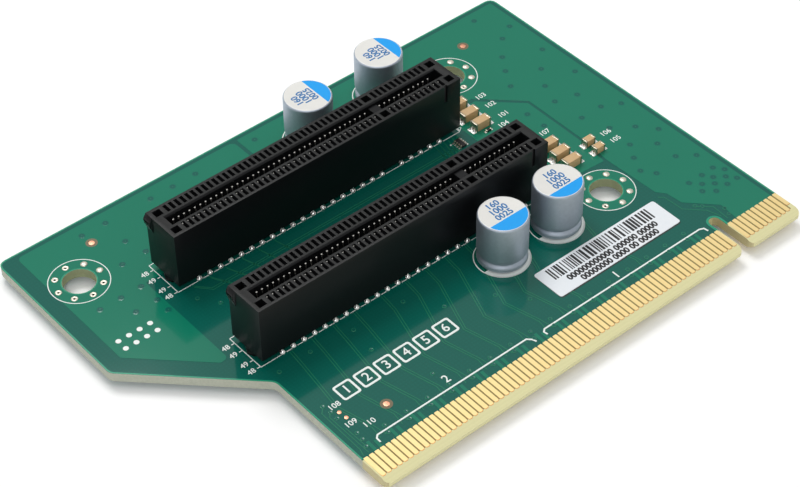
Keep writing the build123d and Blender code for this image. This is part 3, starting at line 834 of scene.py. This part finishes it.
def finger_gaps():
    """The etched strips between neighbouring fingers, on both faces."""
    bm = bmesh.new()
    reach = (CONTACT_PITCH - FINGER_WIDTH) / 2 + GAP_OVERLAP
    places = contact_places(FINGERS_RIGHT, FINGERS_LEFT)
    middles = [(a + b) / 2 for a, b in zip(places, places[1:]) if a - b < 1.5 * CONTACT_PITCH]
    for face in (UPPER, UNDER):
        for middle in middles:
            gap = rectangle(middle - reach, FINGER_TIP_V + GAP_SETBACK, middle + reach, MASK_EDGE_V)
            slab(bm, [gap], GAP_HEIGHT, face)
    add_piece("finger_gaps", bm, [FINGER_GAP])


# White ink

INK_LINE = 0.13
INK_MARK = 0.14
INK_SEGMENTS = 64
OUTLINE_NEAR, OUTLINE_FAR = -3.45, 4.1      # from the middle of the slot
OUTLINE_ENDS = (-71.93, -15.6)
OUTLINE_FIGURES = (("48", 2.9), ("49", 1.0), ("49", -1.6), ("48", -3.3))
OUTLINE_MARK = 0.6                          # length of the line beside each of these figures
OUTLINE_FIGURE_SHIFT, OUTLINE_FIGURE = 1.6, 0.95
JOINT_CLEAR = 0.5       # between a solder joint's middle and the dashes beside it
FIRST_CONTACT_MARK = (
    [(0.15, -2.3), (0.15, -3.4), (0.9, -2.85)],
    [(0.27, -2.5), (0.27, -3.2), (0.74, -2.85)],
)
BRACKET_LINE = 0.26
BRACKETS = (
    [(-36.03, 6.4), (-36.15, 7.1), (-35.65, 7.5), (-3.1, 7.5), (-2.4, 7.2), (-2.25, 6.4)],
    [(-68.03, 6.4), (-68.0, 7.25), (-67.5, 7.7), (-39.1, 7.7), (-38.5, 7.1), (-38.25, 6.4)],
)
BRACKET_FIGURES = (("1", -19.7, 8.75), ("2", -53.2, 9.4))
BRACKET_FIGURE = 1.5
PART_FIGURES = (
    ("103", -7.1, 53.5), ("102", -7.3, 50.9), ("101", -7.3, 47.7), ("104", -9.0, 45.8), ("106", 2.0, 33.4),
    ("105", 2.1, 31.2), ("107", -5.4, 39.9), ("108", -68.65, 15.9), ("109", -68.95, 11.8),
    ("110", -66.9, 10.2),
)
PART_FIGURE = 1.0
TICK_BOXES = 6
TICK_BOX_FIRST, TICK_BOX_PITCH = (-66.9, 15.6), 3.75
TICK_BOX_SIZE, TICK_BOX_WALL = 3.2, 0.35
TICK_BOX_CORNERS = (0.5, 0.25)              # radius outside and inside
TICK_BOX_FIGURE = 1.7
DATE_DOTS = (4, 2)
DATE_DOT_FIRST, DATE_DOT_PITCH = (-84.6, 46.6), 1.9
DATE_DOT_RADIUS = 0.45
NETWORK_DOT, NETWORK_DOT_RADIUS = (-18.9, 47.5), 0.16       # at the resistor network's first terminal
CAN_PRINT_RADIUS, CAN_PRINT_LINE = 4.4, 0.16


def ink_ring(bm, u, v, radius, width):
    """A printed ring."""
    rings = [circle(u, v, radius + side * width / 2, INK_SEGMENTS) for side in (1, -1)]
    slab(bm, rings, INK_HEIGHT)


def can_turn(name):
    """Direction of a capacitor's negative lead, in radians."""
    return -math.pi / 2 if name.startswith("front") else 0.0


def slot_outline(bm, slot):
    """A slot's printed outline: solid ends, dashes between the solder joints, a mark at contact 1."""
    middle = slot_middle(slot)
    left, right = OUTLINE_ENDS
    near, far = middle + OUTLINE_NEAR, middle + OUTLINE_FAR
    joints = slot_contacts()[1::2]
    starts = [right] + [u - JOINT_CLEAR for u in joints]
    ends = [u + JOINT_CLEAR for u in joints] + [left]
    for v in (near, far):
        for start, end in zip(starts, ends):
            line(bm, [(start, v), (end, v)], INK_LINE, INK_HEIGHT)
    for u in OUTLINE_ENDS:
        line(bm, [(u, near), (u, far)], INK_LINE, INK_HEIGHT)
    for figure, shift in OUTLINE_FIGURES:
        v = middle + shift
        line(bm, [(left, v), (left - OUTLINE_MARK, v)], INK_MARK, INK_HEIGHT)
        digits(bm, figure, left - OUTLINE_FIGURE_SHIFT, v, OUTLINE_FIGURE)
    mark = [[(right + u, middle + v) for u, v in loop] for loop in FIRST_CONTACT_MARK]
    slab(bm, mark, INK_HEIGHT)


def capacitor_print(bm, name):
    """A capacitor's printed ring, filled on the side of its negative lead."""
    u, v = node_middle(f"{name}_capacitor_can")
    ink_ring(bm, u, v, CAN_PRINT_RADIUS, CAN_PRINT_LINE)
    turns = [can_turn(name) + math.radians(a) for a in range(-80, 81, 10)]
    slab(bm, [arc(u, v, CAN_PRINT_RADIUS, turns)], INK_HEIGHT)


def tick_box(bm, number, u, v):
    """A numbered box with thick walls, to be ticked by hand."""
    far_u, far_v, wall = u + TICK_BOX_SIZE, v + TICK_BOX_SIZE, TICK_BOX_WALL
    outer = rounded(rectangle(u, v, far_u, far_v), TICK_BOX_CORNERS[0])
    inner = rectangle(u + wall, v + wall, far_u - wall, far_v - wall)
    inner = rounded(inner, TICK_BOX_CORNERS[1])
    slab(bm, [outer, inner], INK_HEIGHT)
    digits(bm, str(number), (u + far_u) / 2, (v + far_v) / 2, TICK_BOX_FIGURE)


def white_print():
    """All white ink on the upper face: lines, rings and plain numbers."""
    bm = bmesh.new()
    for hole in HOLES:
        ink_ring(bm, *hole, INK_RING_RADIUS, INK_MARK)
    for path in BRACKETS:
        line(bm, path, BRACKET_LINE, INK_HEIGHT)
    for slot in SLOTS:
        slot_outline(bm, slot)
    for name in CAPACITORS:
        capacitor_print(bm, name)
    for figure, u, v in BRACKET_FIGURES:
        digits(bm, figure, u, v, BRACKET_FIGURE)
    for n in range(TICK_BOXES):
        tick_box(bm, n + 1, TICK_BOX_FIRST[0] + n * TICK_BOX_PITCH, TICK_BOX_FIRST[1])
    for n in range(DATE_DOTS[0]):
        for m in range(DATE_DOTS[1]):
            u, v = DATE_DOT_FIRST[0] + n * DATE_DOT_PITCH, DATE_DOT_FIRST[1] - m * DATE_DOT_PITCH
            slab(bm, [circle(u, v, DATE_DOT_RADIUS, 16)], INK_HEIGHT)
    for figure, u, v in PART_FIGURES:
        digits(bm, figure, u, v, PART_FIGURE)
    slab(bm, [circle(*NETWORK_DOT, NETWORK_DOT_RADIUS, 10)], INK_HEIGHT)
    add_piece("white_print", bm, [INK])


# Slots

GROOVE_HALF_WIDTH = 0.95
OUTER_ROW, INNER_ROW = 3.1, 1.1     # of the tails, from the middle of the slot
BLADE_TIP_WIDTH, BLADE_TAIL_WIDTH = 0.24, 0.14
BLADE_TIP_POINTS = 4                # of the path
BLADE_PATH = (                      # reach into the groove, and depth below the slot's top
    (0.0, 1.2), (0.12, 1.3), (0.17, 1.45), (0.18, 1.9), (0.26, 3.0), (0.35, 4.2), (0.24, 5.4), (0.02, 6.8),
)
BLADE_THICKNESS = 0.1
WINDOW_TIP = ((1.56, -0.3), (1.68, -0.33), (1.74, -0.5), (1.74, -1.2), (1.56, -1.2))
WINDOW_TIP_WIDTH = 0.16
SAME_PLANE = 0.5        # degrees; flatter edges between the CAD's triangles are dissolved
SHARP_EDGE = 40         # degrees
TOP_DEPTH = 0.3         # sharp edges with an end less than this below the top are eased
EDGE_EASE = 0.05
NUB_FACE = 0.1          # points this near the slot's left end are the nub's face
NUB_DRAWN_IN = 0.2      # the nub stands out less than the CAD's flat-sided one
NUB_EASE = 0.25
UPPER_JOINT = (
    (0.48, 0.0), (0.45, 0.12), (0.37, 0.24), (0.25, 0.34), (0.16, 0.46), (0.13, 0.8), (0.1, 1.04), (0.0, 1.1),
)
LOWER_JOINT = ((0.6, 0.0), (0.48, 0.12), (0.33, 0.45), (0.24, 0.8), (0.14, 1.02), (0.0, 1.08))
JOINT_SEGMENTS = 12


def slot_body(slot):
    """The slot's moulded housing, its CAD solid with the sharp upper edges and the nub eased."""
    node = f"{slot}_slot_housing"
    bm = bmesh.new()
    bm.from_mesh(frame["nodes"][node].data)
    bmesh.ops.remove_doubles(bm, verts=bm.verts, dist=DOUBLES * MM)
    bmesh.ops.dissolve_limit(bm, angle_limit=math.radians(SAME_PLANE), verts=bm.verts, edges=bm.edges)
    low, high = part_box(node)
    edges = [
        e for e in bm.edges
        if e.is_manifold and e.is_convex and e.calc_face_angle() > math.radians(SHARP_EDGE)
        and max(v.co.z for v in e.verts) > high.z - TOP_DEPTH * MM
    ]
    bmesh.ops.bevel(
        bm, geom=edges, offset=EDGE_EASE * MM, segments=2, profile=0.5, affect="EDGES", clamp_overlap=True
    )
    nub = [v for v in bm.verts if v.co.x < low.x + NUB_FACE * MM]
    for vert in nub:
        vert.co.x += NUB_DRAWN_IN * MM
    edges = list(dict.fromkeys(e for v in nub for e in v.link_edges if e.other_vert(v) in nub))
    bmesh.ops.bevel(bm, geom=edges, offset=NUB_EASE * MM, segments=3, profile=0.5, affect="EDGES")
    add_piece(f"{slot}_slot_body", bm, [HOUSING], [node], smooth=35)


def slot_springs(slot, row, side):
    """The bowed contact springs along one wall of a slot's groove."""
    top = node_box(f"{slot}_slot_housing")[1].z
    middle = slot_middle(slot)
    wall = middle + side * GROOVE_HALF_WIDTH
    inner = [(wall - side * reach, top - depth) for reach, depth in BLADE_PATH]
    outer = [(wall - side * max(reach - BLADE_THICKNESS, 0), top - depth) for reach, depth in BLADE_PATH]
    split = BLADE_TIP_POINTS
    blade_tip = list(dict.fromkeys(inner[:split] + outer[:split][::-1]))
    blade_tail = inner[split - 1:] + outer[split - 1:][::-1]
    window_tip = [(middle + side * t, top + w) for t, w in WINDOW_TIP]
    bm = bmesh.new()
    for u in slot_contacts():
        bar(bm, blade_tip, u, BLADE_TIP_WIDTH)
        bar(bm, blade_tail, u, BLADE_TAIL_WIDTH)
        bar(bm, window_tip, u, WINDOW_TIP_WIDTH)
    node = f"{slot}_slot_contacts_{row}"
    add_piece(f"{slot}_slot_springs_{row}", bm, [CONTACT], [node], smooth=30)


def slot_joints(slot):
    """The solder joints of a slot's tails: the outer rows above the board, all rows below it."""
    middle = slot_middle(slot)
    upper, lower = bmesh.new(), bmesh.new()
    for number, u in enumerate(slot_contacts(), start=1):
        outer = number % 2 == 0
        for side in (-1, 1):
            v = middle + side * (OUTER_ROW if outer else INNER_ROW)
            if outer:
                lathe(upper, UPPER_JOINT, u, v, JOINT_SEGMENTS)
            lathe(lower, LOWER_JOINT, u, v, JOINT_SEGMENTS, UNDER)
    for place, bm in (("upper", upper), ("lower", lower)):
        node = f"{slot}_slot_{place}_solder"
        add_piece(f"{slot}_slot_joints_{place}", bm, [SOLDER], [node], smooth=60)


# Round capacitors

CAN_RADIUS = 4.0
CAN_RIM_RADIUS = 0.32
CAN_SEGMENTS = 72
CAN_FOOT = [(0.0, 0.25), (3.3, 0.25), (3.62, 0.25), (3.84, 0.34), (3.96, 0.52), (3.97, 0.8), (3.93, 1.05)]
CAN_CRIMP = [
    (3.84, 1.2), (3.68, 1.36), (3.56, 1.52), (3.54, 1.66), (3.6, 1.82), (3.75, 2.0), (3.9, 2.16),
    (3.97, 2.34), (CAN_RADIUS, 2.6),
]
CAN_TOP_SUNK = 0.02         # the printed top lies this far below the rim
CAN_TOP_STEP = 0.1          # along which it goes down
CAN_INK_RADIUS = 3.72
CAN_INK_HEIGHT = 0.02
CAN_FIGURES = (             # distance from the blue field, and height
    ("0025", -0.8, 1.15), ("1000", -2.15, 1.2), ("160", -3.5, 1.15),
)
CAN_FIGURE_WEIGHT = 0.035
BLUE_CHORDS = {             # distance of the blue field from the axis
    "front_left": 1.05, "front_right": 1.6, "rear_left": 1.5, "rear_right": 1.7,
}
LEAD_RADIUS = 0.3
LEAD_SEGMENTS = 20
LEAD = [                    # from the can's foot down through the board, then the solder round its end
    (0.0, -1.85), (LEAD_RADIUS, -1.85), (LEAD_RADIUS, 0.0), (0.95, 0.0), (0.92, 0.05), (0.7, 0.14),
    (0.42, 0.4), (0.31, 0.75), (0.28, 0.94), (0.0, 1.0),
]


def can(name):
    """A can from its rubber foot over the crimp to the rounded rim and the pale top."""
    node = f"{name}_capacitor_can"
    height = node_box(node)[1].z
    turns = [math.radians(a) for a in (0, 22.5, 45, 67.5, 90)]
    middle = CAN_RADIUS - CAN_RIM_RADIUS
    rim = arc(middle, height - CAN_RIM_RADIUS, CAN_RIM_RADIUS, turns)
    top = [(middle - CAN_TOP_STEP, height - CAN_TOP_SUNK), (0.0, height - CAN_TOP_SUNK)]
    profile = CAN_FOOT + CAN_CRIMP + rim + top
    rubber, lacquer = [1] * 2, [2] * 3      # bands of the foot and of the top; the rest is metal
    finishes = rubber + [0] * (len(profile) - 1 - len(rubber + lacquer)) + lacquer
    bm = bmesh.new()
    lathe(bm, profile, *node_middle(node), CAN_SEGMENTS, finishes=finishes)
    add_piece(f"{name}_can", bm, [ALUMINIUM, RUBBER, LACQUER], [node], smooth=50)


def can_marking(name):
    """The blue field on a can's top, and rows of plain numbers beside it."""
    node = f"{name}_capacitor_can"
    middle = node_middle(node)
    base = node_box(node)[1].z - CAN_TOP_SUNK
    height = base + CAN_INK_HEIGHT
    turn = can_turn(name)
    half = math.acos(BLUE_CHORDS[name] / CAN_INK_RADIUS)
    field = arc(*middle, CAN_INK_RADIUS, [turn + half * (n / 16 - 1) for n in range(33)])
    bm = bmesh.new()
    slab(bm, [field], height, base=base)
    along = Vector((math.cos(turn), math.sin(turn)))
    for figures, shift, size in CAN_FIGURES:
        place = middle + along * (BLUE_CHORDS[name] + shift)
        across = math.degrees(turn) + 90
        digits(bm, figures, *place, size, across, height, base, finish=1, weight=CAN_FIGURE_WEIGHT)
    add_piece(f"{name}_marking", bm, [BLUE_INK, BLUE_FIGURES])


def can_leads(name):
    """A capacitor's two leads with the solder round their ends."""
    node = f"{name}_capacitor_leads"
    low, high = node_box(node)
    reach = max(high.x - low.x, high.y - low.y) / 2 - LEAD_RADIUS
    along = Vector((math.cos(can_turn(name)), math.sin(can_turn(name))))
    bm = bmesh.new()
    for side in (-1, 1):
        lathe(bm, LEAD, *(node_middle(node) + along * side * reach), LEAD_SEGMENTS, UNDER)
    add_piece(f"{name}_soldered_leads", bm, [SOLDER], [node], smooth=50)


# Chip parts

# Each chip's material, and how far its pads reach out
CHIPS = {f"{row}_chip_capacitor_{n}": (CERAMIC, 0.65) for row in ("rear", "front") for n in (1, 2, 3)}
CHIPS.update({f"small_chip_capacitor_{n}": (CERAMIC, 0.55) for n in (1, 2)})
CHIPS["chip_resistor"] = (BLACK_GLAZE, 0.3)
CAP_ON_TOP = 0.7        # share of the CAD end cap's length that shows as metal
BODY_EASE, CAP_EASE = 0.04, 0.07
PAD_UNDER = 0.1         # from the chip's end inwards
PAD_CORNER = 0.12
MOUND_SHAPE = ((1.0, 0.0), (0.96, 0.09), (0.7, 0.2), (0.45, 0.5), (0.25, 0.86), (0.12, 1.0))
MOUND_SEGMENTS = 16
MOUND_SHIFT = 0.22      # share of the chip's width
MOUND_SHARES = (0.9, 0.27, 0.32)        # of the pad's reach, the chip's width and its height
NETWORK_TERMINALS = 4   # on each side
NETWORK_PITCH = 0.51
NETWORK_HALF_WIDTH, NETWORK_PAD_HALF_WIDTH = 0.14, 0.15     # of a terminal and its pad
NETWORK_PAD_REACH = 0.35
NETWORK_EASE = 0.03


def mound(bm, u, v, reach_u, reach_v, height, finish):
    """A drop of solder that has drawn up a wall: a low dome with a hollow slope."""
    rings = []
    for share, rise in MOUND_SHAPE:
        around = circle(0, 0, share, MOUND_SEGMENTS)
        rings.append([bm.verts.new(spot(u + a * reach_u, v + b * reach_v, height * rise)) for a, b in around])
    faces = [bm.faces.new(rings[0][::-1]), bm.faces.new(rings[-1])]
    for lower, upper in zip(rings, rings[1:]):
        for n in range(MOUND_SEGMENTS):
            m = (n + 1) % MOUND_SEGMENTS
            faces.append(bm.faces.new((lower[n], lower[m], upper[m], upper[n])))
    paint(faces, finish)


def chip(name, body_material, pad_reach):
    """A chip part: eased ceramic, end caps, and solder drawn up from its pads."""
    body_low, body_high = node_box(f"{name}_body")
    low, high = node_box(f"{name}_terminals")
    cap = (body_low.x - low.x) * CAP_ON_TOP
    bm = bmesh.new()
    block(bm, (low.x + cap, *body_low.yz), (high.x - cap, *body_high.yz), BODY_EASE)
    add_piece(f"{name}_ceramic", bm, [body_material], [f"{name}_body"], smooth=40)

    bm = bmesh.new()
    block(bm, low, (low.x + cap, *high.yz), CAP_EASE)
    block(bm, (high.x - cap, *low.yz), high, CAP_EASE)
    middle, width = (low.y + high.y) / 2, high.y - low.y
    mound_size = [share * size for share, size in zip(MOUND_SHARES, (pad_reach, width, high.z))]
    for end, outward in ((low.x, -1), (high.x, 1)):
        pad = rectangle(end - outward * PAD_UNDER, low.y, end + outward * pad_reach, high.y)
        slab(bm, [rounded(pad, PAD_CORNER)], PAD_HEIGHT, finish=1)
        for side in (-1, 1):
            mound(bm, end, middle + side * MOUND_SHIFT * width, *mound_size, finish=1)
    add_piece(f"{name}_end_caps", bm, [TERMINAL, SOLDER], [f"{name}_terminals"], smooth=40)


def resistor_network():
    """The tiny network of resistors: glazed body and a row of terminals on each side."""
    body, terminals = "resistor_network_body", "resistor_network_terminals"
    low, high = node_box(body)
    bm = bmesh.new()
    block(bm, low, high, NETWORK_EASE)
    add_piece("resistor_network_glaze", bm, [BLACK_GLAZE], [body], smooth=40)

    outer_low, outer_high = node_box(terminals)
    top = outer_high.z
    half, pad_half = NETWORK_HALF_WIDTH, NETWORK_PAD_HALF_WIDTH
    first = (low.y + high.y) / 2 - (NETWORK_TERMINALS - 1) / 2 * NETWORK_PITCH
    bm = bmesh.new()
    for n in range(NETWORK_TERMINALS):
        v = first + n * NETWORK_PITCH
        block(bm, (outer_low.x, v - half, 0.0), (low.x, v + half, top), NETWORK_EASE)
        block(bm, (high.x, v - half, 0.0), (outer_high.x, v + half, top), NETWORK_EASE)
        for end, outward in ((outer_low.x, -1), (outer_high.x, 1)):
            pad = rectangle(end, v - pad_half, end + outward * NETWORK_PAD_REACH, v + pad_half)
            slab(bm, [pad], PAD_HEIGHT, finish=1)
    add_piece("resistor_network_ends", bm, [TERMINAL, SOLDER], [terminals], smooth=40)


# Label

LABEL_CORNER = 0.5
# The label's painted shadow: how far its sheet reaches out from under the left and front edges, and how thick
# it is
SHADOW_REACH = (0.05, 0.22)       # out from under the label's left and front edges
SHADOW_SHEET_HEIGHT = 0.012
PRINT_HEIGHT, PRINT_SUNK = 0.006, 0.02      # above the paper, and into it
STRIPE_SEED = 7
STRIPE_WIDTHS = (0.2, 0.3, 0.45)
STRIPE_GAPS = (0.18, 0.26, 0.4)
STRIPE_MARGINS = {"left": 1.9, "right": 2.6, "front": 3.2, "back": 0.45}
LABEL_ROWS = (("000000000000 000000 00000", 12.9, 2.2), ("00000000 0000 00 00000", 13.2, 0.85))
LABEL_FIGURE, LABEL_FIGURE_WEIGHT = 1.12, 0.065


def label():
    """The paper label: upright stripes above two rows of noughts, as plain fields of print."""
    low, high = node_box("label")
    bm = bmesh.new()
    slab(bm, [rounded(rectangle(*low.xy, *high.xy), LABEL_CORNER)], high.z)
    # A thin dark sheet out from under the label's left and front edges is its painted shadow
    left, front = SHADOW_REACH
    painted_shadow = rectangle(low.x - left, low.y - front, high.x - left, high.y - front)
    slab(bm, [rounded(painted_shadow, LABEL_CORNER)], SHADOW_SHEET_HEIGHT, finish=1)
    add_piece("label_paper", bm, [PAPER, LABEL_EDGE_SHADOW], ["label"])

    draw = random.Random(STRIPE_SEED)
    bm = bmesh.new()
    top, base = high.z + PRINT_HEIGHT, high.z - PRINT_SUNK
    front, back = low.y + STRIPE_MARGINS["front"], high.y - STRIPE_MARGINS["back"]
    u = low.x + STRIPE_MARGINS["left"]
    while u < high.x - STRIPE_MARGINS["right"]:
        width = draw.choice(STRIPE_WIDTHS)
        slab(bm, [rectangle(u, front, u + width, back)], top, base=base)
        u += width + draw.choice(STRIPE_GAPS)
    for figures, middle, row in LABEL_ROWS:
        place = (low.x + middle, low.y + row)
        digits(bm, figures, *place, LABEL_FIGURE, height=top, base=base, weight=LABEL_FIGURE_WEIGHT)
    add_piece("label_print", bm, [PRINT])


# Studio

FLOOR_REACH = 1.5
FLOOR_LIFT = 0.05       # lifts the floor to white where the camera, metal or glass sees it
SKY_MIDDLE, SKY_TOP, SKY_RIM = 0.34, 1.15, 1.2     # half-way up, overhead, and more at the horizon
SKY_TOP_POWER, SKY_RIM_POWER = 4.0, 8.0            # how closely they keep to the top and the horizon
LAMPS = {               # place, size and power
    "soft_box": ((0.04, 0.3, 0.55), 0.25, 1.5),
    "front_spot": ((-0.3, -0.3, 0.42), 0.06, 0.45),
}
# Camera, as the photograph has it
SENSOR_WIDTH = 36.0
LENS = 98.26
CAMERA_EYE = (-194.66, -151.66, 230.94)
CAMERA_AIM = (-39.9, 35.39, 0.0)
CAMERA_ROLL = -0.968


def floor_material():
    """White studio sweep: an even, matt white that keeps the card's soft shadow."""
    material, tree, place = start_material("white_studio_sweep")
    ray = add_node(tree, "LightPath")
    mirrored = {0: ray["Is Glossy Ray"], 1: ray["Is Transmission Ray"]}
    mirrored = add_node(tree, "Math", mirrored, operation="MAXIMUM")[0]
    seen = add_node(tree, "Math", {0: ray["Is Camera Ray"], 1: mirrored}, operation="MAXIMUM")[0]
    end_material(tree, {
        "Base Color": mottled(tree, place, 60.0, "#fbfbfb", "#fdfdfd"),
        "Roughness": 0.9,
        "Emission Color": srgb("#ffffff"),
        "Emission Strength": add_node(tree, "Math", {0: seen, 1: FLOOR_LIFT}, operation="MULTIPLY")[0],
    })
    return material


def studio_floor():
    """The pale floor on which the card rests."""
    bm = bmesh.new()
    corners = rectangle(-FLOOR_REACH, -FLOOR_REACH, FLOOR_REACH, FLOOR_REACH)
    bm.faces.new([bm.verts.new((x, y, CAD_BOX[0].z)) for x, y in corners])
    mesh = bpy.data.meshes.new("floor")
    bm.to_mesh(mesh)
    bm.free()
    mesh.materials.append(floor_material())
    floor = bpy.data.objects.new("floor", mesh)
    bpy.context.scene.collection.objects.link(floor)


def studio_sky():
    """Even white light from all round, brighter overhead and at the horizon."""
    world = bpy.data.worlds.new("studio_sky")
    bpy.context.scene.world = world
    world.use_nodes = True
    tree = world.node_tree
    tree.nodes.clear()
    height = add_node(tree, "SeparateXYZ", {0: add_node(tree, "TexCoord")["Generated"]})["Z"]
    above = add_node(tree, "Math", {0: height, 1: 0.0}, operation="MAXIMUM")[0]
    overhead = add_node(tree, "Math", {0: above, 1: SKY_TOP_POWER}, operation="POWER")[0]
    level = add_node(tree, "MapRange", {"Value": overhead, "To Min": SKY_MIDDLE, "To Max": SKY_TOP})[0]
    below = add_node(tree, "Math", {0: 1.0, 1: above}, operation="SUBTRACT")[0]
    near_rim = add_node(tree, "Math", {0: below, 1: SKY_RIM_POWER}, operation="POWER")[0]
    strength = add_node(tree, "Math", {0: near_rim, 1: SKY_RIM, 2: level}, operation="MULTIPLY_ADD")[0]
    sky = add_node(tree, "Background", {"Color": srgb("#ffffff"), "Strength": strength})[0]
    add_node(tree, "OutputWorld", {"Surface": sky})


def studio_lamp(name, place, size, watts):
    """A square soft light that points at the card."""
    light = bpy.data.lights.new(name, "AREA")
    light.shape = "SQUARE"
    light.size = size
    light.energy = watts
    lamp = bpy.data.objects.new(name, light)
    lamp.location = place
    lamp.rotation_euler = (-lamp.location).to_track_quat("-Z", "Y").to_euler()
    bpy.context.scene.collection.objects.link(lamp)


def studio_camera():
    """The camera at the photograph's place and angle."""
    lens = bpy.data.cameras.new("camera")
    lens.sensor_width = SENSOR_WIDTH
    lens.lens = LENS
    lens.clip_start, lens.clip_end = 0.01, 10.0
    camera = bpy.data.objects.new("camera", lens)
    eye, aim = spot(*CAMERA_EYE), spot(*CAMERA_AIM)
    level = (aim - eye).to_track_quat("-Z", "Y").to_matrix()
    camera.location = eye
    camera.rotation_euler = (level @ Matrix.Rotation(math.radians(CAMERA_ROLL), 3, "Z")).to_euler()
    bpy.context.scene.collection.objects.link(camera)
    bpy.context.scene.camera = camera
    bpy.context.scene.view_settings.view_transform = "Standard"


board = frame["nodes"]["circuit_board"]
board.data.materials.clear()
board.data.materials.append(BOARD)
edge_rim()
copper_pours()
signal_traces()
finger_leads()
vias()
hole_walls()
hole_rings()
sighting_marks()
gold_fingers("top", UPPER, SHORT_UPPER_FINGERS)
gold_fingers("underside", UNDER, SHORT_UNDER_FINGERS)
finger_gaps()
white_print()
for slot in SLOTS:
    slot_body(slot)
    slot_springs(slot, "near", -1)
    slot_springs(slot, "far", 1)
    slot_joints(slot)
for name in CAPACITORS:
    can(name)
    can_marking(name)
    can_leads(name)
for name, (body_material, pad_reach) in CHIPS.items():
    chip(name, body_material, pad_reach)
resistor_network()
label()
studio_floor()
studio_sky()
for name, (place, size, watts) in LAMPS.items():
    studio_lamp(name, place, size, watts)
studio_camera()
